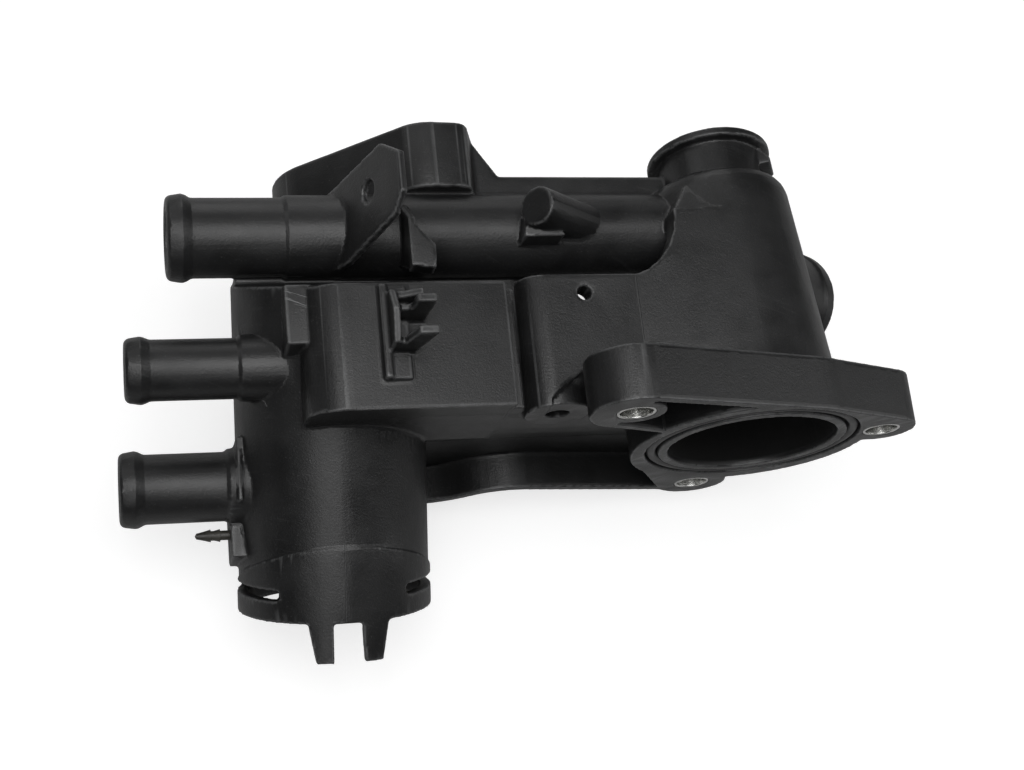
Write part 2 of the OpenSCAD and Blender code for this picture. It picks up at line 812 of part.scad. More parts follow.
module housing() color(plastic) {
    difference() {
        union() {
            plan(0, flange_t)
                flange_outline();
            column_solid();
            at_top_socket()
                socket_solid(-6, socket_h, socket_rim_d, socket_rim_t);
            at_top_socket()
                clip_nub();
            at_side_socket()
                socket_solid(8, side_socket_reach, side_rim_d, side_rim_t);
            duct_solid();
            fin();
            button_boss();
            ear();
            hook();
            box_solid();
            saddle();
            clip_bracket();
            web();
            fairing();
            groove_floor();
            passage_solid();
            screw_boss();
            skirt();
            hood();
            chamber_solid();
            middle_stub();
            lower_stub();
            lug();
            tab();
        }
        column_core();
        at_top_socket()
            socket_cut(-8, socket_h, socket_rim_t, clip_turn, 5.4);
        at_side_socket()
            socket_cut(4, side_socket_reach, side_rim_t, 0, 0.6);
        bar_x(duct_end_x - over, -2, duct_y, 0, duct_bore);
        bar_x(mouth_x, -2, 22, -6, passage_bore);
        chamber_cut();
        bar_x(mid_end_x - over, mouth_x - 1.2, mid_y, mid_z, mid_bore);
        bar_x(low_end_x - over, mouth_x - 5.2, low_y, low_z, low_bore);
        plan(-over, pocket_depth)
            flange_pocket();
        seal_groove();
        for (bolt = bolts)
            bar_y(-over, flange_t + over, bolt[0], bolt[1], bush_d);
        bar_y(6, 17, -54, 7.6, screw_bore);
        translate([-45.8, 36.4, web_z - web_t - over])
            cylinder(d = web_hole_d, h = web_t + 2 * over);
        bar_x(lug_face_x - over, lug_face_x + 4, lug_mid[0], lug_mid[1], peg_d + 0.1);
    }
}

module seal_groove() {
    rotate([-90, 0, 0])
        rotate_extrude()
            polygon([[groove_r - groove_w, -over], [groove_r, -over], [groove_r, groove_depth],
                     [groove_r - groove_w, groove_depth]]);
}

// Steel bush, flush with the flange face, with a rolled mouth
module flange_bush(bolt) color(steel) {
    r = bush_d / 2;
    b = bush_bore / 2;
    translate([bolt[0], 0, bolt[1]])
        rotate([-90, 0, 0])
            rotate_extrude()
                polygon([[b + bush_lip, 0], [r, 0], [r, flange_t], [b + bush_lip, flange_t],
                         [b, flange_t - bush_lip], [b, bush_lip]]);
}

module flange_bush_1() { flange_bush(bolts[0]); }
module flange_bush_2() { flange_bush(bolts[1]); }
module flange_bush_3() { flange_bush(bolts[2]); }

// Rubber ring with a crowned face, seated on the bottom of its groove
module flange_seal() color(rubber) {
    outer = groove_r - seal_gap;
    inner = groove_r - groove_w + seal_gap;
    mid = (outer + inner) / 2;
    crown_r = (outer - inner) / 2 - 0.2;
    rotate([-90, 0, 0])
        rotate_extrude()
            polygon(concat([[inner, groove_depth], [inner, seal_sink + crown_r]],
                           arc([mid, seal_sink + crown_r], crown_r, 200, 340, 8),
                           [[outer, seal_sink + crown_r], [outer, groove_depth]]));
}

// Barbed peg that plugs into the lug
module vent_peg() color([0.16, 0.15, 0.13]) {
    r = peg_d / 2;
    translate([lug_face_x, lug_mid[0], lug_mid[1]])
        rotate([0, -90, 0])
            rotate_extrude()
                polygon([[0, -3.6], [r, -3.6], [r, 2.4], [r + 0.4, 2.4], [r, 4], [r, 4.8], [r + 0.4, 4.8],
                         [r - 0.1, 6.6], [r - 0.5, 8.4], [0, 8.8]]);
}

// Rubber ring that grips the seat plate's edge and seals it against the ledge
module rim_seal() color(rubber) at_chamber() {
    outer = mouth_bore / 2 - 0.1;
    low = seat_depth - rim_h;
    rotate_extrude()
        polygon([[rim_inner_r, low], [outer - 0.5, low], [outer, low + 0.5], [outer, seat_depth - 0.5],
                 [outer - 0.5, seat_depth], [rim_inner_r, seat_depth], [rim_inner_r, plate_s + plate_t],
                 [plate_r, plate_s + plate_t], [plate_r, plate_s], [rim_inner_r, plate_s]]);
}

// Stamped plate with the valve opening, and the bridge that the piston pushes against
module seat_plate() color(brass) at_chamber() {
    foot_r = rim_inner_r - 0.4;
    apex_w = 5;
    difference() {
        union() {
            translate([0, 0, plate_s])
                cylinder(r = plate_r, h = plate_t);
            translate([0, leg_w / 2, 0])
                rotate([90, 0, 0])
                    linear_extrude(leg_w)
                        polygon([[-foot_r, plate_s + 0.4], [-apex_w, bridge_s], [apex_w, bridge_s],
                                 [foot_r, plate_s + 0.4], [foot_r - 2, plate_s + 0.4],
                                 [apex_w - 0.6, bridge_s + bridge_t],
                                 [-apex_w + 0.6, bridge_s + bridge_t], [-foot_r + 2, plate_s + 0.4]]);
        }
        translate([0, 0, plate_s + 0.2])
            cylinder(d = valve_port_d, h = plate_t + over);
        translate([0, 0, plate_s - 0.2])
            cylinder(d = valve_port_d - 1, h = plate_t);
        translate([0, jiggle_r, plate_s - over])
            cylinder(d = jiggle_d + 0.4, h = plate_t + 2 * over);
    }
}

// Cage of the main spring: cross plate with the capsule's guide hole, on two legs
module spring_frame() color(brass) at_chamber() {
    top = frame_s + frame_t;
    difference() {
        union() {
            translate([0, 0, frame_s])
                cylinder(d = spring_d + 2 * spring_wire, h = frame_t);
            for (side = [-1, 1])
                translate([0, leg_w / 2, 0])
                    rotate([90, 0, 0])
                        linear_extrude(leg_w)
                            polygon([[side * leg_r, plate_s + plate_t],
                                     [side * (leg_r + frame_t), plate_s + plate_t],
                                     [side * (leg_r + frame_t), top - 1], [side * (leg_r + 0.4), top],
                                     [side * (spring_d / 2), top], [side * (spring_d / 2), frame_s],
                                     [side * leg_r, frame_s]]);
        }
        translate([0, 0, frame_s - over])
            cylinder(d = capsule_d + 0.8, h = frame_t + 2 * over);
    }
}

module piston() color(steel) at_chamber() {
    tip = bridge_s + bridge_t;
    rotate_extrude()
        polygon([[0, tip], [piston_d / 2 - 0.5, tip], [piston_d / 2, tip + 0.5],
                 [piston_d / 2, capsule_s + piston_depth - 1], [0, capsule_s + piston_depth]]);
}

// Loose vent pin in its hole, headed on both sides of the plate
module jiggle_pin() color(steel) at_chamber() {
    head_r = jiggle_d / 2 + 0.5;
    translate([0, jiggle_r, 0])
        rotate_extrude()
            polygon([[0, plate_s - 1.4], [head_r, plate_s - 1.4], [head_r, plate_s - 0.4],
                     [jiggle_d / 2, plate_s - 0.2], [jiggle_d / 2, plate_s + plate_t + 0.2],
                     [head_r - 0.1, plate_s + plate_t + 0.3],
                     [head_r - 0.3, plate_s + plate_t + 0.9], [0, plate_s + plate_t + 1.1]]);
}

// Wax capsule with its guide, shoulder and bypass stem, bored for the piston
module wax_capsule() color(brass) at_chamber() {
    r = capsule_d / 2;
    bore_r = piston_d / 2 + piston_gap;
    bore_end = capsule_s + piston_depth + 0.9;
    rotate_extrude()
        polygon([[bore_r, plate_s - guide_h], [guide_r - 0.6, plate_s - guide_h],
                 [guide_r, plate_s - guide_h + 0.6], [guide_r, capsule_s],
                 [r - 0.6, capsule_s], [r, capsule_s + 0.6], [r, capsule_top_s - 1.5],
                 [r - 1.5, capsule_top_s], [stem_d / 2, capsule_top_s], [stem_d / 2, stem_top_s - 0.6], [stem_d / 2 - 0.6, stem_top_s],
                 [0, stem_top_s], [0, bore_end + 1], [bore_r, bore_end]]);
}

// Valve disc with the lip that centres the main spring
module valve_disc() color(brass) at_chamber() {
    lip_r = spring_d / 2 - spring_wire / 2 - 0.2;
    rotate_extrude()
        polygon([[guide_r + 0.05, disc_s], [valve_d / 2, disc_s], [valve_d / 2, disc_s + disc_t],
                 [lip_r, disc_s + disc_t],
                 [lip_r, disc_s + disc_t + 1], [lip_r - 1, disc_s + disc_t + 1], [lip_r - 1, disc_s + disc_t],
                 [guide_r + 0.05, disc_s + disc_t]]);
}

// Rubber face of the valve disc
module valve_gasket() color(rubber) at_chamber() {
    rotate_extrude()
        polygon([[valve_port_d / 2 - 2, valve_s], [valve_d / 2 - 0.4, valve_s], [valve_d / 2 - 0.2, disc_s],
                 [valve_port_d / 2 - 2, disc_s]]);
}

// Round wire wound along +Z, with flat-lying end turns
module coil(mean_d, wire, turns, height) {
    steps = 20;
    sides = 8;
    n = ceil(turns * steps);
    rise = height - wire;
    function lift(i) = let (f = i / n, e = 0.75 / turns) f < e ? 0 : f > 1 - e ? 1 : (f - e) / (1 - 2 * e);
    function ring(i) = let (a = 360 * turns * i / n)
        [for (k = [0 : sides - 1]) let (b = 360 * (k + 0.5) / sides)
            [(mean_d / 2 + wire / 2 * cos(b)) * cos(a), (mean_d / 2 + wire / 2 * cos(b)) * sin(a),
             wire / 2 + rise * lift(i) + wire / 2 * sin(b)]];
    points = [for (i = [0 : n]) each ring(i)];
    walls = [for (i = [0 : n - 1], k = [0 : sides - 1]) let (m = (k + 1) % sides)
        [i * sides + k, i * sides + m, (i + 1) * sides + m, (i + 1) * sides + k]];
    ends = [[for (k = [0 : sides - 1]) sides - 1 - k], [for (k = [0 : sides - 1]) n * sides + k]];
    polyhedron(points, concat(walls, ends));
}

module main_spring() color(steel) at_chamber() {
    low = disc_s + disc_t + seat_gap;
    translate([0, 0, low])
        coil(spring_d, spring_wire, spring_turns, frame_s - seat_gap - low);
}

module bypass_disc() color(brass) at_chamber() {
    rotate_extrude()
        polygon([[stem_d / 2 + 0.05, bypass_s], [bypass_r - 0.6, bypass_s], [bypass_r, bypass_s + 0.4],
                 [bypass_r, bypass_s + bypass_t],
                 [stem_d / 2 + 0.05, bypass_s + bypass_t]]);
}

module bypass_spring() color(steel) at_chamber() {
    low = capsule_top_s + seat_gap;
    translate([0, 0, low])
        coil(8.4, 1, 4, bypass_s - seat_gap - low);
}

// Clip that holds the bypass disc on the stem
module stem_clip() color(steel) at_chamber() {
    translate([0, 0, bypass_s + bypass_t])
        difference() {
            cylinder(d = stem_d + 3, h = clip_t);
            translate([0, 0, -over])
                cylinder(d = stem_d + 0.1, h = clip_t + 2 * over);
            translate([-stem_d, -0.7, -over])
                cube([stem_d, 1.4, clip_t + 2 * over]);
        }
}

housing();
flange_bush_1();
flange_bush_2();
flange_bush_3();
flange_seal();
vent_peg();
rim_seal();
seat_plate();
spring_frame();
piston();
jiggle_pin();
wax_capsule();
valve_disc();
valve_gasket();
main_spring();
bypass_disc();
bypass_spring();
stem_clip();
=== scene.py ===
"""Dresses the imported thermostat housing: moulded shell, steel bushes, seals, springs and the wax valve."""

import math

import bmesh
import bpy
import numpy as np
from bpy.props import FloatProperty, FloatVectorProperty, IntProperty, PointerProperty
from mathutils import Matrix, Vector


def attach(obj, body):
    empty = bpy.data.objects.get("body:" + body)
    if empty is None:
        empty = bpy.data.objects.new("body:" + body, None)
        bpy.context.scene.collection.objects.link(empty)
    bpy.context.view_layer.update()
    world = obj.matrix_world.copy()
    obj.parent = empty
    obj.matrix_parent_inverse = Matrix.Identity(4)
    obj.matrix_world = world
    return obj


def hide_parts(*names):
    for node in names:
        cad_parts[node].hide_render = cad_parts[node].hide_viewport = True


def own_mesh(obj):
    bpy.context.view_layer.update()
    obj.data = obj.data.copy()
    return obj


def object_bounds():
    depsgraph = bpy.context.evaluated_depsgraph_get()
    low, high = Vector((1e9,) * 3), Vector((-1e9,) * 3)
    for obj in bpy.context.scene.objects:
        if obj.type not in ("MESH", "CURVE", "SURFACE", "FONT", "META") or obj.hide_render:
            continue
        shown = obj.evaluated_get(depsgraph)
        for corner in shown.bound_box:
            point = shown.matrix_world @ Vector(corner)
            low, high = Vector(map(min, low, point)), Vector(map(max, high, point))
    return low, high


bl_info = {
    "name": "Thermostat Housing",
    "version": (1, 0, 0),
    "blender": (4, 5, 0),
    "location": "View3D > Sidebar > Housing",
    "description": "Builds the looks of a moulded coolant housing around its solids",
    "category": "Object",
}

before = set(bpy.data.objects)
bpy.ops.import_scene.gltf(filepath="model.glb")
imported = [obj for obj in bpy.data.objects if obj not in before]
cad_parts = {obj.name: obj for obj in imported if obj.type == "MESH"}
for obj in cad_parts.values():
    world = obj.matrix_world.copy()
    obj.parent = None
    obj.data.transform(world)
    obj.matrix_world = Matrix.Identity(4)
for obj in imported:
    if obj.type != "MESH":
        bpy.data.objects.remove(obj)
CAD_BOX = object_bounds()

# The chamber's own frame: its mouth, and its axis up into the housing, as in the part's source
CHAMBER_MOUTH = Vector((-0.1068, -0.0285, -0.0392))
CHAMBER_PITCH = math.radians(22.6)
CHAMBER_LEAN = math.radians(0.5)
CHAMBER_TURN = Matrix.Rotation(CHAMBER_LEAN, 4, "Z") @ Matrix.Rotation(CHAMBER_PITCH - math.pi / 2, 4, "X")
BOLTS = [Vector((-0.0406, 0, 0.0294)), Vector((0.0334, 0, 0.0077)), Vector((-0.004, 0, -0.038))]

# Springs of the valve: start along the chamber's axis, height at rest, turns that lie flat at each end
MAIN_SPRING_START = 0.0248
MAIN_SPRING_HEIGHT = 0.0218
BYPASS_SPRING_START = 0.0558
BYPASS_SPRING_HEIGHT = 0.0094
FLAT_TURNS = 0.75

# Filler behind the groove between box and web, where they meet the duct: its middle and its size
GROOVE_END = Vector((-0.0572, 0.0445, -0.0068))
GROOVE_FILL = Vector((0.0068, 0.0088, 0.005))
# Corners of the blend that runs the fairing's upper end out onto the column
FAIRING_TOP = (
    (-0.0193, 0.0586, 0.0181), (-0.0068, 0.0586, 0.0191), (-0.0193, 0.0586, 0.008), (-0.0068, 0.0586, 0.008),
    (-0.0134, 0.0683, 0.0136), (-0.009, 0.067, 0.0146), (-0.0134, 0.0683, 0.008), (-0.009, 0.067, 0.008),
)

# Parting lines of the upper, middle and lower stub: from and to along Y, and the height of the line
STUB_LINES = ((0.045, 0.074, 0.0), (0.015, 0.036, -0.003), (-0.012, 0.0125, -0.0245))
STUB_LINE_HALF = 0.00022
STUB_ENDS_X = -0.1145
# Parting line down the front of the chamber sleeve
SLEEVE_LINE_X = -0.1075
SLEEVE_LINE_HALF = 0.0002
SLEEVE_TOP_Y = -0.0196
SLEEVE_FRONT_Z = -0.04
# Edge where the flat web turns onto the column, where a painted highlight line runs
WEB_EDGE_X = -0.0319
WEB_EDGE_HALF = 0.0003
WEB_SPAN_Y = (0.0205, 0.0405)
WEB_FRONT_Z = 0.0155
# Rubbed tab beside the box: where the rubbing fades in and out
TAB_LEFT_X = (-0.1216, -0.1208)
TAB_RIGHT_X = (-0.1163, -0.1158)
TAB_LOW_Y = (0.024, 0.0255)
TAB_BACK_Z = (0.012, 0.0145)
# Painted shade inside the flange port and the column: radius at the face, taper, and where it fades out
PORT_RADIUS = 0.0235
PORT_TAPER = 0.104
PORT_FADE = 0.0003
PORT_START_Y = (0.0008, 0.002)
PORT_END_Y = (0.058, 0.062)

# Meshes: gaps that are welded, sides and points of what is grown
WELD_GAP = 1e-6
GROWN_WELD_GAP = 1e-7
BUSH_SIDES = 72
LIP_STEPS = 4
SPRING_POINTS = 300
WIRE_SIDES = 14
# Bend, in radians per metre, from which a point counts as an edge, and over which it comes to a full one
EDGE_FROM = 850.0
EDGE_SPAN = 500.0
SHORTEST_EDGE = 2e-4
# Faces of the shell that keep their own normal: from this area up, and from this cosine to it down
WIDE_FROM = 4e-7
WIDE_SPAN = 8e-7
ALIKE_FROM = 0.998
ALIKE_SPAN = 0.006
TINY = 1e-12

# Sockets of a Mix node that hold colours
MIX_LOW, MIX_HIGH, MIX_RESULT = 6, 7, 2
WHITE = (1, 1, 1, 1)

# Stage: reach of the floor, its gap under the part, where its lift to white starts and ends, the camera
FLOOR_REACH = 6.0
FLOOR_GAP = 0.0003
GLOW_NEAR = 0.35
GLOW_FAR = 1.8
SENSOR_WIDTH = 36.0
CLIP_NEAR = 0.01
CLIP_FAR = 50.0
# Soft lights: name, tilt from overhead and turn from +X in degrees, width, share of the power
LAMPS = (
    ("overhead_light", 0, 0, 0.6, 2.6),
    ("right_light", 25, 0, 0.5, 0.35),
    ("left_light", 25, 180, 0.55, 1.8),
    ("front_light", 27, 245, 0.55, 1.1),
    ("right_low_light", 50, 0, 0.5, 1.0),
    ("rear_light", 50, 100, 0.8, 0.5),
    ("rear_left_light", 62, 135, 0.5, 0.55),
    ("front_left_light", 50, 240, 0.5, 0.5),
    ("right_side_light", 75, 0, 0.45, 0.45),
    ("rear_side_light", 75, 90, 0.5, 0.8),
)


# Sizes and colours that a user would change

class HousingLook(bpy.types.PropertyGroup):
    """Shell of the housing"""

    voxel: FloatProperty(
        name="Mesh step", description="Step of the shell's mesh before it is thinned",
        default=0.00045, min=0.0003, max=0.002, precision=5, subtype="DISTANCE", unit="LENGTH")
    edge_passes: IntProperty(
        name="Edge softening", description="Passes that round the moulded edges", default=3, min=0, max=20)
    triangles: IntProperty(
        name="Triangles", description="Triangles left in the shell", default=190000, min=20000, max=199000)
    colour: FloatVectorProperty(
        name="Plastic", description="Colour of the glass-filled plastic",
        default=(0.0112, 0.0113, 0.0116), min=0, max=1, subtype="COLOR", size=3)
    # Also the colour of the painted highlight on the shell's outer edges
    worn_and_edge_highlight: FloatVectorProperty(
        name="Rubbed edge", description="Colour of the plastic where edges are rubbed",
        default=(0.085, 0.086, 0.087), min=0, max=1, subtype="COLOR", size=3)
    grain: FloatProperty(
        name="Grain", description="Size of the moulded grain",
        default=0.0005, min=0.0001, max=0.002, precision=5, subtype="DISTANCE", unit="LENGTH")
    gloss: FloatProperty(
        name="Roughness", description="Roughness of the moulded surface",
        default=0.38, min=0, max=1, subtype="FACTOR")


class HardwareLook(bpy.types.PropertyGroup):
    """Bushes, seals and the vent peg"""

    bush_bore: FloatProperty(
        name="Bush bore", description="Bore of a steel bush",
        default=0.0082, min=0.006, max=0.01, precision=4, subtype="DISTANCE", unit="LENGTH")
    bush_outer: FloatProperty(
        name="Bush diameter", description="Outer diameter of a steel bush",
        default=0.0098, min=0.008, max=0.012, precision=4, subtype="DISTANCE", unit="LENGTH")
    bush_length: FloatProperty(
        name="Bush length", description="Length of a steel bush",
        default=0.014, min=0.01, max=0.02, precision=4, subtype="DISTANCE", unit="LENGTH")
    bush_lip: FloatProperty(
        name="Bush lip", description="Radius rolled on a bush's mouth",
        default=0.00032, min=0.0001, max=0.0004, precision=5, subtype="DISTANCE", unit="LENGTH")
    steel: FloatVectorProperty(
        name="Bush steel", description="Colour of the bushes",
        default=(0.82, 0.82, 0.80), min=0, max=1, subtype="COLOR", size=3)
    rubber: FloatVectorProperty(
        name="Rubber", description="Colour of the seals",
        default=(0.03, 0.03, 0.0305), min=0, max=1, subtype="COLOR", size=3)
    peg: FloatVectorProperty(
        name="Vent peg", description="Colour of the vent peg",
        default=(0.03, 0.028, 0.024), min=0, max=1, subtype="COLOR", size=3)


class ValveLook(bpy.types.PropertyGroup):
    """Wax valve inside the chamber"""

    main_mean: FloatProperty(
        name="Main spring", description="Mean diameter of the main spring",
        default=0.023, min=0.02, max=0.025, precision=4, subtype="DISTANCE", unit="LENGTH")
    main_wire: FloatProperty(
        name="Main wire", description="Wire of the main spring",
        default=0.002, min=0.001, max=0.0024, precision=4, subtype="DISTANCE", unit="LENGTH")
    main_turns: FloatProperty(
        name="Main turns", description="Turns of the main spring", default=4.5, min=3, max=6)
    bypass_mean: FloatProperty(
        name="Bypass spring", description="Mean diameter of the bypass spring",
        default=0.0084, min=0.007, max=0.01, precision=4, subtype="DISTANCE", unit="LENGTH")
    bypass_wire: FloatProperty(
        name="Bypass wire", description="Wire of the bypass spring",
        default=0.001, min=0.0006, max=0.0014, precision=4, subtype="DISTANCE", unit="LENGTH")
    bypass_turns: FloatProperty(
        name="Bypass turns", description="Turns of the bypass spring", default=4.0, min=3, max=6)
    brass: FloatVectorProperty(
        name="Brass", description="Colour of the stamped brass",
        default=(0.60, 0.43, 0.17), min=0, max=1, subtype="COLOR", size=3)
    wire: FloatVectorProperty(
        name="Spring wire", description="Colour of the spring wire",
        default=(0.42, 0.42, 0.43), min=0, max=1, subtype="COLOR", size=3)
    pin: FloatVectorProperty(
        name="Pin steel", description="Colour of the piston, the jiggle pin and the stem clip",
        default=(0.55, 0.55, 0.56), min=0, max=1, subtype="COLOR", size=3)


class StageLook(bpy.types.PropertyGroup):
    """Floor, lights and camera"""

    floor: FloatVectorProperty(
        name="Floor", description="Colour of the pale floor",
        default=(0.48, 0.48, 0.48), min=0, max=1, subtype="COLOR", size=3)
    floor_glow: FloatProperty(
        name="Floor lift", description="How much the floor is lifted to white for the camera",
        default=0.7, min=0, max=1)
    power: FloatProperty(
        name="Light power", description="Power of all the lights together", default=9.6, min=0, unit="POWER")
    distance: FloatProperty(
        name="Light distance", description="How far the lights stand from the middle of the part",
        default=0.9, min=0.5, max=3, subtype="DISTANCE", unit="LENGTH")
    sky: FloatProperty(
        name="Room light", description="Strength of the even room light", default=0.03, min=0, max=2)
    eye: FloatVectorProperty(
        name="Camera", description="Place of the camera",
        default=(-0.168503, -0.115484, 0.400590), subtype="TRANSLATION", unit="LENGTH", size=3)
    ahead: FloatVectorProperty(
        name="Looks along", description="Direction the camera looks",
        default=(0.242681, 0.306360, -0.920462), subtype="DIRECTION", size=3)
    upward: FloatVectorProperty(
        name="Upward", description="Direction that is up in the picture",
        default=(0.027123, 0.946312, 0.322115), subtype="DIRECTION", size=3)
    lens: FloatProperty(
        name="Focal length", description="Focal length at a sensor width of 36 mm",
        default=59.766, min=10, max=300)


# Small helpers

def link(piece):
    bpy.context.scene.collection.objects.link(piece)
    return piece


def evaluated_mesh(piece):
    graph = bpy.context.evaluated_depsgraph_get()
    return bpy.data.meshes.new_from_object(piece.evaluated_get(graph))


def drop(piece):
    old = piece.data
    bpy.data.objects.remove(piece)
    if old is not None and old.users == 0:
        bpy.data.meshes.remove(old)


def finish_piece(piece, body, slot, material, *nodes):
    piece.data.materials.clear()
    piece.data.materials.append(material)
    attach(piece, body)
    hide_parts(*nodes)


def dress_node(name, material):
    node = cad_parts[name]
    if not node.data.materials:
        node.data.materials.append(material)
    for place in node.material_slots:
        place.material = material


def shade_of(colour, share):
    return tuple(channel * share for channel in colour)


def field(items, key, width, kind=np.float32):
    """One field of a mesh's items, as an array with a row for each item."""
    values = np.empty(len(items) * width, kind)
    items.foreach_get(key, values)
    return values.reshape(-1, width)


def unit(vectors):
    """The rows of an array brought to a length of 1."""
    length = np.sqrt((vectors * vectors).sum(1))
    return vectors / np.maximum(length, TINY)[:, None]


# Node tree helpers

def add_node(tree, kind, **values):
    made = tree.nodes.new(kind)
    for key, value in values.items():
        setattr(made, key, value)
    return made


def put(tree, target, value):
    """Sets a socket to a plain value, or links another socket into it."""
    if isinstance(value, bpy.types.NodeSocket):
        tree.links.new(value, target)
    else:
        target.default_value = value


def calc(tree, operation, first, second=None, clamp=False):
    made = add_node(tree, "ShaderNodeMath", operation=operation, use_clamp=clamp)
    put(tree, made.inputs[0], first)
    if second is not None:
        put(tree, made.inputs[1], second)
    return made.outputs[0]


def product(tree, first, *others):
    for other in others:
        first = calc(tree, "MULTIPLY", first, other)
    return first


def between(tree, value, low, high):
    """1 where the value lies between the two limits, 0 elsewhere."""
    return product(tree, calc(tree, "GREATER_THAN", value, low), calc(tree, "LESS_THAN", value, high))


def ramp(tree, value, from_low, from_high, to_low=0.0, to_high=1.0):
    made = add_node(tree, "ShaderNodeMapRange", interpolation_type="SMOOTHSTEP")
    put(tree, made.inputs["Value"], value)
    put(tree, made.inputs["From Min"], from_low)
    put(tree, made.inputs["From Max"], from_high)
    put(tree, made.inputs["To Min"], to_low)
    put(tree, made.inputs["To Max"], to_high)
    return made.outputs["Result"]


def fade(tree, value, from_low, from_high):
    """1 below the first limit, falling to 0 at the second."""
    return ramp(tree, value, from_low, from_high, 1.0, 0.0)


def blend_colour(tree, share, low, high):
    made = add_node(tree, "ShaderNodeMix", data_type="RGBA")
    put(tree, made.inputs[0], share)
    for place, value in ((MIX_LOW, low), (MIX_HIGH, high)):
        put(tree, made.inputs[place], value if isinstance(value, bpy.types.NodeSocket) else (*value, 1.0))
    return made.outputs[MIX_RESULT]


def noise(tree, place, scale, detail=2.0, roughness=0.5):
    made = add_node(tree, "ShaderNodeTexNoise")
    put(tree, made.inputs["Vector"], place)
    put(tree, made.inputs["Scale"], scale)
    made.inputs["Detail"].default_value = detail
    made.inputs["Roughness"].default_value = roughness
    return made.outputs["Fac"]


def shader_group(name, inputs, outputs):
    tree = bpy.data.node_groups.new(name, "ShaderNodeTree")
    for label in inputs:
        tree.interface.new_socket(label, in_out="INPUT", socket_type="NodeSocketFloat")
    for label in outputs:
        tree.interface.new_socket(label, in_out="OUTPUT", socket_type="NodeSocketFloat")
    return tree, add_node(tree, "NodeGroupInput"), add_node(tree, "NodeGroupOutput")


def use_group(tree, group, **values):
    made = add_node(tree, "ShaderNodeGroup", node_tree=group)
    for label, value in values.items():
        put(tree, made.inputs[label.replace("_", " ")], value)
    return made


def grain_group():
    """Fine moulded grain with slow tone changes, in the piece's own coordinates."""
    name = "Moulded grain"
    if name in bpy.data.node_groups:
        return bpy.data.node_groups[name]
    tree, given, out = shader_group(name, ["Size", "Patch size"], ["Height", "Tone", "Speck"])
    place = add_node(tree, "ShaderNodeTexCoord").outputs["Object"]
    fine = noise(tree, place, calc(tree, "DIVIDE", 1.0, given.outputs["Size"]), 3.0, 0.6)
    coarse = noise(tree, place, calc(tree, "DIVIDE", 0.35, given.outputs["Size"]))
    height = calc(tree, "ADD", product(tree, fine, 0.7), product(tree, coarse, 0.3))
    tree.links.new(height, out.inputs["Height"])
    patch = noise(tree, place, calc(tree, "DIVIDE", 1.0, given.outputs["Patch size"]), 4.0, 0.55)
    tree.links.new(ramp(tree, patch, 0.3, 0.7), out.inputs["Tone"])
    tree.links.new(ramp(tree, fine, 0.62, 0.78), out.inputs["Speck"])
    return tree


def edge_highlight_group():
    """Painted highlights on the outer edges, from the edge attribute broken up by noise."""
    name = "Rubbed edges"
    if name in bpy.data.node_groups:
        return bpy.data.node_groups[name]
    tree, given, out = shader_group(name, ["Amount", "Patch size"], ["Mask"])
    edge = add_node(tree, "ShaderNodeAttribute", attribute_name="edge").outputs["Fac"]
    place = add_node(tree, "ShaderNodeTexCoord").outputs["Object"]
    patch = noise(tree, place, calc(tree, "DIVIDE", 1.0, given.outputs["Patch size"]), 4.0, 0.6)
    broken = product(tree, edge, ramp(tree, patch, 0.25, 0.75, 0.45, 1.0))
    tree.links.new(calc(tree, "MULTIPLY", broken, given.outputs["Amount"], clamp=True), out.inputs["Mask"])
    return tree


def scratch_group():
    """Short rubbed streaks that run along one direction."""
    name = "Rubbed streaks"
    if name in bpy.data.node_groups:
        return bpy.data.node_groups[name]
    tree, given, out = shader_group(name, ["Turn", "Fine", "Stretch"], ["Mask"])
    place = add_node(tree, "ShaderNodeTexCoord").outputs["Object"]
    turned = add_node(tree, "ShaderNodeVectorRotate", rotation_type="Z_AXIS")
    put(tree, turned.inputs["Vector"], place)
    put(tree, turned.inputs["Angle"], given.outputs["Turn"])
    stretch = add_node(tree, "ShaderNodeCombineXYZ")
    put(tree, stretch.inputs["X"], given.outputs["Stretch"])
    put(tree, stretch.inputs["Y"], 1.0)
    put(tree, stretch.inputs["Z"], given.outputs["Stretch"])
    scaled = add_node(tree, "ShaderNodeMapping")
    put(tree, scaled.inputs["Vector"], turned.outputs["Vector"])
    put(tree, scaled.inputs["Scale"], stretch.outputs["Vector"])
    streak = noise(tree, scaled.outputs["Vector"], given.outputs["Fine"])
    patch = noise(tree, place, 160.0)
    mask = product(tree, ramp(tree, streak, 0.58, 0.66), ramp(tree, patch, 0.4, 0.6))
    tree.links.new(mask, out.inputs["Mask"])
    return tree


def band_group():
    """A narrow band round a value of one coordinate."""
    name = "Narrow band"
    if name in bpy.data.node_groups:
        return bpy.data.node_groups[name]
    tree, given, out = shader_group(name, ["Value", "Centre", "Half width"], ["Mask"])
    away = calc(tree, "ABSOLUTE", calc(tree, "SUBTRACT", given.outputs["Value"], given.outputs["Centre"]))
    near = fade(tree, calc(tree, "DIVIDE", away, given.outputs["Half width"]), 0.5, 1.0)
    tree.links.new(near, out.inputs["Mask"])
    return tree


def new_material(name, colour):
    made = bpy.data.materials.new(name)
    made.use_nodes = True
    made.diffuse_color = (*colour, 1.0)
    tree = made.node_tree
    shader = next(n for n in tree.nodes if n.type == "BSDF_PRINCIPLED")
    shader.inputs["Base Color"].default_value = (*colour, 1.0)
    return made, tree, shader


def by_tone(tree, grain, base, spread):
    """A value that rises with the slow tone of the grain."""
    return calc(tree, "ADD", base, product(tree, grain.outputs["Tone"], spread))


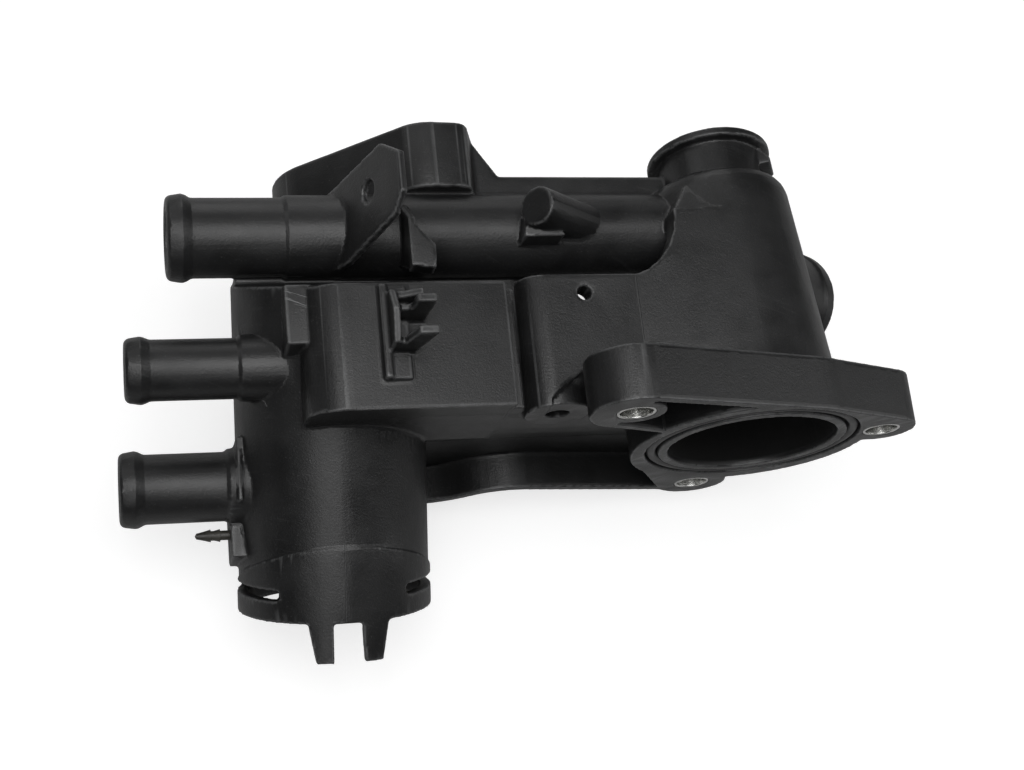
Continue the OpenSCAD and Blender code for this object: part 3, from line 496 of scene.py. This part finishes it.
def bump(tree, shader, height, distance, strength):
    made = add_node(tree, "ShaderNodeBump")
    made.inputs["Strength"].default_value = strength
    made.inputs["Distance"].default_value = distance
    put(tree, made.inputs["Height"], height)
    tree.links.new(made.outputs["Normal"], shader.inputs["Normal"])


# Finishes

def fine_lines(tree, x, y, z):
    """Parting lines on the stubs' left ends and the sleeve, and a painted highlight line along the edge of the
    web.
    """
    band = band_group()
    lines = []
    on_ends = calc(tree, "LESS_THAN", x, STUB_ENDS_X)
    for low_y, high_y, level in STUB_LINES:
        line = use_group(tree, band, Value=z, Centre=level, Half_width=STUB_LINE_HALF)
        lines.append(product(tree, between(tree, y, low_y, high_y), line.outputs["Mask"], on_ends))
    line = use_group(tree, band, Value=x, Centre=SLEEVE_LINE_X, Half_width=SLEEVE_LINE_HALF)
    below = calc(tree, "LESS_THAN", y, SLEEVE_TOP_Y)
    front = calc(tree, "GREATER_THAN", z, SLEEVE_FRONT_Z)
    lines.append(product(tree, line.outputs["Mask"], below, front))
    # Painted highlight along the crease where the web turns onto the column
    line = use_group(tree, band, Value=x, Centre=WEB_EDGE_X, Half_width=WEB_EDGE_HALF)
    front = calc(tree, "GREATER_THAN", z, WEB_FRONT_Z)
    lines.append(product(tree, line.outputs["Mask"], between(tree, y, *WEB_SPAN_Y), front))
    whole = lines[0]
    for mask in lines[1:]:
        whole = calc(tree, "MAXIMUM", whole, mask)
    return whole


def tab_mask(tree, x, y, z):
    """The tab beside the box."""
    across = product(tree, ramp(tree, x, *TAB_LEFT_X), fade(tree, x, *TAB_RIGHT_X))
    return product(tree, across, ramp(tree, y, *TAB_LOW_Y), ramp(tree, z, *TAB_BACK_Z))


def port_mask(tree, x, y, z):
    """The inside of the flange port and the column, within a cone about the flange's axis, where shade is
    painted.
    """
    reach = calc(tree, "SQRT", calc(tree, "ADD", product(tree, x, x), product(tree, z, z)))
    wall = calc(tree, "SUBTRACT", PORT_RADIUS, product(tree, y, PORT_TAPER))
    inside = fade(tree, calc(tree, "SUBTRACT", reach, wall), 0.0, PORT_FADE)
    return product(tree, inside, ramp(tree, y, *PORT_START_Y), fade(tree, y, *PORT_END_Y))


def black_plastic(look):
    made, tree, shader = new_material("black_plastic", look.colour)
    shader.inputs["Specular IOR Level"].default_value = 0.5
    grain = use_group(tree, grain_group(), Size=look.grain, Patch_size=0.014)
    edge_highlight = use_group(tree, edge_highlight_group(), Amount=1.0, Patch_size=0.005).outputs["Mask"]
    streaks = use_group(tree, scratch_group(), Turn=0.35, Fine=1700.0, Stretch=0.06).outputs["Mask"]
    place = add_node(tree, "ShaderNodeSeparateXYZ")
    tree.links.new(add_node(tree, "ShaderNodeTexCoord").outputs["Object"], place.inputs["Vector"])
    seams_and_crease_highlight = fine_lines(tree, *place.outputs)
    tab = tab_mask(tree, *place.outputs)
    port_shade = port_mask(tree, *place.outputs)

    # Outer edges get a painted highlight, rubbed streaks and parting lines are paler, the web's edge gets a
    # painted highlight line, the tab's streaks are palest, and the inside of the port gets painted shade,
    # nearly black
    scored = product(tree, streaks, tab)
    rubbed = product(tree, streaks, calc(tree, "ADD", tab, 0.08, clamp=True))
    # Painted highlight on the outer edges, and paler rubbed streaks
    lift = calc(tree, "MAXIMUM", edge_highlight, product(tree, rubbed, 0.9), clamp=True)
    # Parting lines are paler, and the web's edge gets a painted highlight line
    lift = calc(tree, "MAXIMUM", lift, product(tree, seams_and_crease_highlight, 0.25))
    toned = blend_colour(tree, grain.outputs["Tone"], shade_of(look.colour, 0.82), shade_of(look.colour, 1.22))
    coloured = blend_colour(tree, product(tree, grain.outputs["Speck"], 0.5), toned, look.worn_and_edge_highlight)
    coloured = blend_colour(tree, lift, coloured, look.worn_and_edge_highlight)
    coloured = blend_colour(tree, scored, coloured, shade_of(look.worn_and_edge_highlight, 1.7))
    # Painted shade: the inside of the port and the column is darkened nearly to black
    coloured = blend_colour(tree, port_shade, coloured, shade_of(look.colour, 0.1))
    tree.links.new(coloured, shader.inputs["Base Color"])

    rough = by_tone(tree, grain, look.gloss - 0.05, 0.1)
    rough = calc(tree, "SUBTRACT", rough, product(tree, lift, 0.06))
    rough = calc(tree, "ADD", rough, product(tree, port_shade, 0.6), clamp=True)
    tree.links.new(rough, shader.inputs["Roughness"])
    height = calc(tree, "ADD", product(tree, grain.outputs["Height"], 0.36), product(tree, seams_and_crease_highlight, 0.5))
    height = calc(tree, "SUBTRACT", height, product(tree, rubbed, 0.25))
    bump(tree, shader, height, distance=0.0003, strength=0.8)
    return made


def drawn_steel(name, colour, roughness, grain_size):
    made, tree, shader = new_material(name, colour)
    shader.inputs["Metallic"].default_value = 1.0
    grain = use_group(tree, grain_group(), Size=grain_size, Patch_size=0.004)
    streaks = use_group(tree, scratch_group(), Turn=0.0, Fine=2600.0, Stretch=0.08).outputs["Mask"]
    toned = blend_colour(tree, grain.outputs["Tone"], shade_of(colour, 0.72), colour)
    streaked = blend_colour(tree, product(tree, streaks, 0.5), toned, shade_of(colour, 0.5))
    tree.links.new(streaked, shader.inputs["Base Color"])
    rough = calc(tree, "ADD", by_tone(tree, grain, roughness, 0.1), product(tree, streaks, 0.12))
    tree.links.new(rough, shader.inputs["Roughness"])
    height = calc(tree, "ADD", grain.outputs["Height"], streaks)
    bump(tree, shader, height, distance=0.00003, strength=0.6)
    return made


def seal_rubber(look):
    made, tree, shader = new_material("seal_rubber", look.rubber)
    shader.inputs["Specular IOR Level"].default_value = 0.5
    grain = use_group(tree, grain_group(), Size=0.0006, Patch_size=0.006)
    dusty = shade_of(look.rubber, 2.0)
    toned = blend_colour(tree, product(tree, grain.outputs["Tone"], 0.5), look.rubber, dusty)
    specked = blend_colour(tree, product(tree, grain.outputs["Speck"], 0.3), toned, dusty)
    tree.links.new(specked, shader.inputs["Base Color"])
    tree.links.new(by_tone(tree, grain, 0.36, 0.14), shader.inputs["Roughness"])
    bump(tree, shader, grain.outputs["Height"], distance=0.00006, strength=0.7)
    return made


def peg_plastic(look):
    made, tree, shader = new_material("peg_plastic", look.peg)
    grain = use_group(tree, grain_group(), Size=0.0004, Patch_size=0.003)
    toned = blend_colour(tree, grain.outputs["Tone"], look.peg, shade_of(look.peg, 1.5))
    tree.links.new(toned, shader.inputs["Base Color"])
    tree.links.new(by_tone(tree, grain, 0.34, 0.12), shader.inputs["Roughness"])
    bump(tree, shader, grain.outputs["Height"], distance=0.00004, strength=0.6)
    return made


def stamped_brass(look):
    made, tree, shader = new_material("valve_brass", look.brass)
    shader.inputs["Metallic"].default_value = 1.0
    grain = use_group(tree, grain_group(), Size=0.0008, Patch_size=0.007)
    streaks = use_group(tree, scratch_group(), Turn=0.5, Fine=1500.0, Stretch=0.07).outputs["Mask"]
    red, green, blue = look.brass
    tarnish = (red * 0.55, green * 0.5, blue * 0.5)
    toned = blend_colour(tree, product(tree, grain.outputs["Tone"], 0.6), look.brass, tarnish)
    streaked = blend_colour(tree, product(tree, streaks, 0.4), toned, look.brass)
    tree.links.new(streaked, shader.inputs["Base Color"])
    tree.links.new(by_tone(tree, grain, 0.26, 0.2), shader.inputs["Roughness"])
    bump(tree, shader, grain.outputs["Height"], distance=0.00004, strength=0.5)
    return made


def pale_floor(look):
    """A pale floor that the camera sees lifted to white, the more so the farther it lies."""
    made, tree, shader = new_material("pale_floor", look.floor)
    shader.inputs["Roughness"].default_value = 0.9
    shader.inputs["Specular IOR Level"].default_value = 0.1
    shader.inputs["Emission Color"].default_value = WHITE
    away = add_node(tree, "ShaderNodeVectorMath", operation="LENGTH")
    tree.links.new(add_node(tree, "ShaderNodeTexCoord").outputs["Object"], away.inputs[0])
    glow = ramp(tree, away.outputs["Value"], GLOW_NEAR, GLOW_FAR, look.floor_glow, 1.0)
    seen = add_node(tree, "ShaderNodeLightPath").outputs["Is Camera Ray"]
    tree.links.new(product(tree, seen, glow), shader.inputs["Emission Strength"])
    return made


# Shell of the housing

def mark_edges(mesh):
    """Stores how sharply the surface turns outwards at each point, 0 on flats and 1 on outer edges."""
    at = field(mesh.vertices, "co", 3).astype(float)
    way = field(mesh.vertex_normals, "vector", 3).astype(float)
    a, b = field(mesh.edges, "vertices", 2, np.int32).T
    gap = at[b] - at[a]
    length = np.sqrt((gap * gap).sum(1))
    bend = ((way[b] - way[a]) * gap).sum(1) / np.maximum(length, SHORTEST_EDGE) ** 2
    sharpest = np.zeros(len(at))
    for end in (a, b):
        np.maximum.at(sharpest, end, bend)
    edge = np.clip((sharpest - EDGE_FROM) / EDGE_SPAN, 0, 1)
    stored = mesh.attributes.new("edge", "FLOAT", "POINT")
    stored.data.foreach_set("value", edge.astype(np.float32))


def settle_normals(mesh, passes=16, turn=0.008, reach=0.002):
    """Evens the shading of rounds and flats, and leaves the edges as they are."""
    mesh.calc_loop_triangles()
    at = field(mesh.vertices, "co", 3)
    a, b = field(mesh.edges, "vertices", 2, np.int32).T
    corners = field(mesh.loop_triangles, "vertices", 3, np.int32)
    faces = field(mesh.loop_triangles, "normal", 3)
    areas = field(mesh.loop_triangles, "area", 1)
    count = len(at)

    # Normals of the points, weighed by the area of the faces that meet there
    pull = faces * areas
    way = np.zeros((count, 3))
    for axis in range(3):
        for corner in corners.T:
            way[:, axis] += np.bincount(corner, pull[:, axis], count)
    way = unit(way)

    # Neighbours that face almost the same way are evened out
    near = np.exp(-((at[b] - at[a]) ** 2).sum(1) / reach ** 2)
    for _ in range(passes):
        alike = near * np.exp(((way[a] * way[b]).sum(1) - 1.0) / turn)
        mixed = way.copy()
        for axis in range(3):
            forth = np.bincount(a, alike * way[b, axis], count)
            back = np.bincount(b, alike * way[a, axis], count)
            mixed[:, axis] += forth + back
        way = unit(mixed)

    # Wide faces keep their own direction where a corner lies on a rounded edge
    own = np.repeat(faces, 3, axis=0)
    shown = way[corners.ravel()]
    apart = np.clip((ALIKE_FROM - (own * shown).sum(1)) / ALIKE_SPAN, 0, 1)
    wide = np.repeat(np.clip((areas[:, 0] - WIDE_FROM) / WIDE_SPAN, 0, 1), 3)
    shown += (own - shown) * (apart * wide)[:, None]
    turned = np.zeros((len(mesh.loops), 3))
    turned[field(mesh.loop_triangles, "loops", 3, np.int32).ravel()] = unit(shown)
    mesh.normals_split_custom_set(turned.tolist())


def mould_shell(look):
    """The housing's solid with every edge softened as a mould leaves it."""
    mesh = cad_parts["housing"].data.copy()
    work = bmesh.new()
    work.from_mesh(mesh)
    bmesh.ops.remove_doubles(work, verts=work.verts, dist=WELD_GAP)
    bmesh.ops.create_cube(work, size=1.0, matrix=Matrix.LocRotScale(GROOVE_END, None, GROOVE_FILL))
    bmesh.ops.convex_hull(work, input=[work.verts.new(corner) for corner in FAIRING_TOP])
    work.to_mesh(mesh)
    work.free()
    rough = link(bpy.data.objects.new("housing_rough", mesh))
    steps = rough.modifiers.new("Steps", "REMESH")
    steps.mode = "VOXEL"
    steps.voxel_size = look.voxel * 1.0
    soft = rough.modifiers.new("Soft edges", "SMOOTH")
    soft.factor = 0.5
    soft.iterations = look.edge_passes
    dense = evaluated_mesh(rough)
    drop(rough)
    triangles = sum(len(face.vertices) - 2 for face in dense.polygons)
    dense_piece = link(bpy.data.objects.new("housing_dense", dense))
    thin = dense_piece.modifiers.new("Thin", "DECIMATE")
    thin.ratio = min(1.0, look.triangles / triangles)
    shell = evaluated_mesh(dense_piece)
    drop(dense_piece)
    shell.materials.clear()
    shell.polygons.foreach_set("use_smooth", [True] * len(shell.polygons))
    mark_edges(shell)
    settle_normals(shell)
    return link(bpy.data.objects.new("housing_shell", shell))


# Geometry node trees

def geometry_tree(name, measures):
    """A tree that takes points, the measures named and a material."""
    tree = bpy.data.node_groups.new(name, "GeometryNodeTree")
    tree.interface.new_socket("Geometry", in_out="INPUT", socket_type="NodeSocketGeometry")
    for label in measures:
        tree.interface.new_socket(label, in_out="INPUT", socket_type="NodeSocketFloat")
    tree.interface.new_socket("Material", in_out="INPUT", socket_type="NodeSocketMaterial")
    tree.interface.new_socket("Geometry", in_out="OUTPUT", socket_type="NodeSocketGeometry")
    return tree, add_node(tree, "NodeGroupInput"), add_node(tree, "NodeGroupOutput")


def close_tree(tree, out, geometry, material):
    whole = add_node(tree, "GeometryNodeRealizeInstances")
    tree.links.new(geometry, whole.inputs["Geometry"])
    smooth = add_node(tree, "GeometryNodeSetShadeSmooth")
    tree.links.new(whole.outputs["Geometry"], smooth.inputs["Geometry"])
    dressed = add_node(tree, "GeometryNodeSetMaterial")
    tree.links.new(smooth.outputs["Geometry"], dressed.inputs["Geometry"])
    tree.links.new(material, dressed.inputs["Material"])
    tree.links.new(dressed.outputs["Geometry"], out.inputs["Geometry"])


def bush_tree():
    """A rolled steel sleeve on each of the points given."""
    tree, given, out = geometry_tree("Rolled bushes", ("Bore", "Outer", "Length", "Lip"))
    bore, outer = given.outputs["Bore"], given.outputs["Outer"]
    path = add_node(tree, "GeometryNodeCurvePrimitiveCircle")
    path.inputs["Resolution"].default_value = BUSH_SIDES
    mean_radius = product(tree, calc(tree, "ADD", bore, outer), 0.25)
    tree.links.new(mean_radius, path.inputs["Radius"])
    section = add_node(tree, "GeometryNodeCurvePrimitiveQuadrilateral")
    wall = product(tree, calc(tree, "SUBTRACT", outer, bore), 0.5)
    tree.links.new(wall, section.inputs["Width"])
    tree.links.new(given.outputs["Length"], section.inputs["Height"])
    rounded = add_node(tree, "GeometryNodeFilletCurve", mode="POLY")
    rounded.inputs["Count"].default_value = LIP_STEPS
    tree.links.new(section.outputs["Curve"], rounded.inputs["Curve"])
    tree.links.new(given.outputs["Lip"], rounded.inputs["Radius"])
    sleeve = add_node(tree, "GeometryNodeCurveToMesh")
    tree.links.new(path.outputs["Curve"], sleeve.inputs["Curve"])
    tree.links.new(rounded.outputs["Curve"], sleeve.inputs["Profile Curve"])
    placed = add_node(tree, "GeometryNodeInstanceOnPoints")
    tree.links.new(given.outputs["Geometry"], placed.inputs["Points"])
    tree.links.new(sleeve.outputs["Mesh"], placed.inputs["Instance"])
    placed.inputs["Rotation"].default_value = (-math.pi / 2, 0, 0)
    close_tree(tree, out, placed.outputs["Instances"], given.outputs["Material"])
    return tree


def spring_tree():
    """Round wire wound along Z, with end turns that lie flat."""
    tree, given, out = geometry_tree("Wound spring", ("Mean", "Wire", "Turns", "Height", "Dead"))
    line = add_node(tree, "GeometryNodeCurvePrimitiveLine")
    points = add_node(tree, "GeometryNodeResampleCurve", mode="COUNT")
    points.inputs["Count"].default_value = SPRING_POINTS
    tree.links.new(line.outputs["Curve"], points.inputs["Curve"])
    along = add_node(tree, "GeometryNodeSplineParameter").outputs["Factor"]
    angle = product(tree, along, given.outputs["Turns"], 2 * math.pi)
    radius = product(tree, given.outputs["Mean"], 0.5)
    wire_radius = product(tree, given.outputs["Wire"], 0.5)
    dead = calc(tree, "DIVIDE", given.outputs["Dead"], given.outputs["Turns"])
    live = calc(tree, "SUBTRACT", 1.0, product(tree, dead, 2.0))
    rise = calc(tree, "DIVIDE", calc(tree, "SUBTRACT", along, dead), live, clamp=True)
    travel = calc(tree, "SUBTRACT", given.outputs["Height"], given.outputs["Wire"])
    spot = add_node(tree, "ShaderNodeCombineXYZ")
    tree.links.new(product(tree, radius, calc(tree, "COSINE", angle)), spot.inputs["X"])
    tree.links.new(product(tree, radius, calc(tree, "SINE", angle)), spot.inputs["Y"])
    tree.links.new(calc(tree, "ADD", product(tree, rise, travel), wire_radius), spot.inputs["Z"])
    wound = add_node(tree, "GeometryNodeSetPosition")
    tree.links.new(points.outputs["Curve"], wound.inputs["Geometry"])
    tree.links.new(spot.outputs["Vector"], wound.inputs["Position"])
    section = add_node(tree, "GeometryNodeCurvePrimitiveCircle")
    section.inputs["Resolution"].default_value = WIRE_SIDES
    tree.links.new(wire_radius, section.inputs["Radius"])
    wire = add_node(tree, "GeometryNodeCurveToMesh")
    wire.inputs["Fill Caps"].default_value = True
    tree.links.new(wound.outputs["Geometry"], wire.inputs["Curve"])
    tree.links.new(section.outputs["Curve"], wire.inputs["Profile Curve"])
    close_tree(tree, out, wire.outputs["Mesh"], given.outputs["Material"])
    return tree


def grown(name, tree, points, values, place=None):
    """A plain mesh made by a geometry node tree from a few points."""
    seed = bpy.data.meshes.new(name)
    seed.from_pydata([tuple(p) for p in points], [], [])
    raw = link(bpy.data.objects.new(name + "_seed", seed))
    made = raw.modifiers.new("Grow", "NODES")
    made.node_group = tree
    for item in tree.interface.items_tree:
        if item.in_out == "INPUT" and item.name in values:
            made[item.identifier] = values[item.name]
    mesh = evaluated_mesh(raw)
    raw.modifiers.clear()
    drop(raw)
    if place is not None:
        mesh.transform(place)
    work = bmesh.new()
    work.from_mesh(mesh)
    bmesh.ops.remove_doubles(work, verts=work.verts, dist=GROWN_WELD_GAP)
    bmesh.ops.recalc_face_normals(work, faces=work.faces)
    work.to_mesh(mesh)
    work.free()
    if not mesh.polygons:
        raise RuntimeError(f"{name} came out empty")
    return link(bpy.data.objects.new(name, mesh))


def chamber_place(level):
    return Matrix.Translation(CHAMBER_MOUTH) @ CHAMBER_TURN @ Matrix.Translation((0, 0, level))


# Stage

def lay_floor(look, level):
    corners = [(x * FLOOR_REACH, y * FLOOR_REACH, level) for x, y in ((-1, -1), (1, -1), (1, 1), (-1, 1))]
    mesh = bpy.data.meshes.new("floor")
    mesh.from_pydata(corners, [], [(0, 1, 2, 3)])
    mesh.materials.append(pale_floor(look))
    link(bpy.data.objects.new("floor", mesh))


def hang_lights(look, middle):
    total = sum(share for *_, share in LAMPS)
    for name, tilt, turn, size, share in LAMPS:
        data = bpy.data.lights.new(name, "AREA")
        data.shape = "DISK"
        data.size = size
        data.energy = look.power * share / total
        made = link(bpy.data.objects.new(name, data))
        tilt, turn = math.radians(tilt), math.radians(turn)
        away = Vector((math.sin(tilt) * math.cos(turn), math.sin(tilt) * math.sin(turn), math.cos(tilt)))
        made.location = middle + away * look.distance
        made.rotation_mode = "QUATERNION"
        made.rotation_quaternion = (-away).to_track_quat("-Z", "Y")


def light_room(scene, look):
    """A weak, even room light, which the camera itself sees as white."""
    room = scene.world or bpy.data.worlds.new("room")
    scene.world = room
    room.use_nodes = True
    tree = room.node_tree
    tree.nodes.clear()
    path = add_node(tree, "ShaderNodeLightPath")
    seen = calc(tree, "MAXIMUM", path.outputs["Is Camera Ray"], path.outputs["Is Transmission Ray"])
    strength = calc(tree, "ADD", look.sky, product(tree, seen, 1.0 - look.sky))
    sky = add_node(tree, "ShaderNodeBackground")
    sky.inputs["Color"].default_value = WHITE
    tree.links.new(strength, sky.inputs["Strength"])
    tree.links.new(sky.outputs["Background"], add_node(tree, "ShaderNodeOutputWorld").inputs["Surface"])


def place_camera(scene, look):
    data = bpy.data.cameras.new("photo_camera")
    data.sensor_width = SENSOR_WIDTH
    data.lens = look.lens
    data.clip_start = CLIP_NEAR
    data.clip_end = CLIP_FAR
    camera = link(bpy.data.objects.new("photo_camera", data))
    back = -Vector(look.ahead).normalized()
    right = Vector(look.upward).cross(back).normalized()
    upward = back.cross(right)
    camera.matrix_world = Matrix.Translation(look.eye) @ Matrix((right, upward, back)).transposed().to_4x4()
    scene.camera = camera


# Operators

class HOUSING_OT_shell(bpy.types.Operator):
    """Mould the housing's shell with softened edges and grained plastic"""

    bl_idname = "housing.shell"
    bl_label = "Mould the shell"

    def execute(self, context):
        look = context.scene.housing_look
        piece = mould_shell(look)
        finish_piece(piece, "housing_body", "black_plastic", black_plastic(look), "housing")
        return {"FINISHED"}


class HOUSING_OT_bushes(bpy.types.Operator):
    """Press the three steel bushes into the flange"""

    bl_idname = "housing.bushes"
    bl_label = "Press in the bushes"

    def execute(self, context):
        look = context.scene.hardware_look
        steel = drawn_steel("bush_steel", look.steel, roughness=0.16, grain_size=0.0009)
        middle = [bolt + Vector((0, look.bush_length / 2, 0)) for bolt in BOLTS]
        piece = grown("flange_bushes", bush_tree(), middle, {
            "Bore": look.bush_bore, "Outer": look.bush_outer, "Length": look.bush_length,
            "Lip": look.bush_lip, "Material": steel})
        finish_piece(piece, "housing_body", "bush_steel", steel,
                     "flange_bush_1", "flange_bush_2", "flange_bush_3")
        return {"FINISHED"}


class HOUSING_OT_seals(bpy.types.Operator):
    """Finish the rubber seals and the vent peg"""

    bl_idname = "housing.seals"
    bl_label = "Fit seals and vent peg"

    def execute(self, context):
        look = context.scene.hardware_look
        rubber = seal_rubber(look)
        for name in ("flange_seal", "rim_seal", "valve_gasket"):
            dress_node(name, rubber)
        dress_node("vent_peg", peg_plastic(look))
        return {"FINISHED"}


class HOUSING_OT_springs(bpy.types.Operator):
    """Wind the main spring and the bypass spring"""

    bl_idname = "housing.springs"
    bl_label = "Wind the springs"

    def execute(self, context):
        look = context.scene.valve_look
        wire = drawn_steel("spring_steel", look.wire, roughness=0.28, grain_size=0.0008)
        tree = spring_tree()
        main = grown("main_coil", tree, [(0, 0, 0)], {
            "Mean": look.main_mean, "Wire": look.main_wire, "Turns": look.main_turns,
            "Height": MAIN_SPRING_HEIGHT, "Dead": FLAT_TURNS, "Material": wire},
            chamber_place(MAIN_SPRING_START))
        finish_piece(main, "housing_body", "spring_steel", wire, "main_spring")
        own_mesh(main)
        bypass = grown("bypass_coil", tree, [(0, 0, 0)], {
            "Mean": look.bypass_mean, "Wire": look.bypass_wire, "Turns": look.bypass_turns,
            "Height": BYPASS_SPRING_HEIGHT, "Dead": FLAT_TURNS, "Material": wire},
            chamber_place(BYPASS_SPRING_START))
        finish_piece(bypass, "valve_body", "spring_steel", wire, "bypass_spring")
        return {"FINISHED"}


class HOUSING_OT_valve(bpy.types.Operator):
    """Finish the stamped and turned parts of the wax valve"""

    bl_idname = "housing.valve"
    bl_label = "Finish the wax valve"

    def execute(self, context):
        look = context.scene.valve_look
        brass = stamped_brass(look)
        for name in ("seat_plate", "spring_frame", "wax_capsule", "valve_disc", "bypass_disc"):
            dress_node(name, brass)
        pin = drawn_steel("pin_steel", look.pin, roughness=0.22, grain_size=0.0006)
        for name in ("piston", "jiggle_pin", "stem_clip"):
            dress_node(name, pin)
        return {"FINISHED"}


class HOUSING_OT_stage(bpy.types.Operator):
    """Lay the floor and set up the lights and the camera"""

    bl_idname = "housing.stage"
    bl_label = "Set the stage"

    def execute(self, context):
        scene = context.scene
        look = scene.stage_look
        scene.view_settings.view_transform = "Standard"
        low, high = CAD_BOX
        lay_floor(look, low.z - FLOOR_GAP)
        hang_lights(look, (low + high) / 2)
        light_room(scene, look)
        place_camera(scene, look)
        return {"FINISHED"}


class HOUSING_PT_panel(bpy.types.Panel):
    """Sizes, colours and steps of the housing"""

    bl_idname = "HOUSING_PT_panel"
    bl_label = "Thermostat housing"
    bl_space_type = "VIEW_3D"
    bl_region_type = "UI"
    bl_category = "Housing"

    def draw(self, context):
        for name in LOOKS:
            look = getattr(context.scene, name)
            box = self.layout.box()
            for key in look.__annotations__:
                box.prop(look, key)
        for step in STEPS:
            self.layout.operator(step.bl_idname)


LOOKS = {
    "housing_look": HousingLook,
    "hardware_look": HardwareLook,
    "valve_look": ValveLook,
    "stage_look": StageLook,
}
STEPS = (
    HOUSING_OT_shell,
    HOUSING_OT_bushes,
    HOUSING_OT_seals,
    HOUSING_OT_springs,
    HOUSING_OT_valve,
    HOUSING_OT_stage,
)
CLASSES = (*LOOKS.values(), *STEPS, HOUSING_PT_panel)


def register():
    for made in CLASSES:
        bpy.utils.register_class(made)
    for name, look in LOOKS.items():
        setattr(bpy.types.Scene, name, PointerProperty(type=look))


def unregister():
    for name in LOOKS:
        delattr(bpy.types.Scene, name)
    for made in reversed(CLASSES):
        bpy.utils.unregister_class(made)


def main():
    register()
    for name in ("shell", "bushes", "seals", "springs", "valve", "stage"):
        getattr(bpy.ops.housing, name)()
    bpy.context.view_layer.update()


if __name__ == "__main__":
    main()
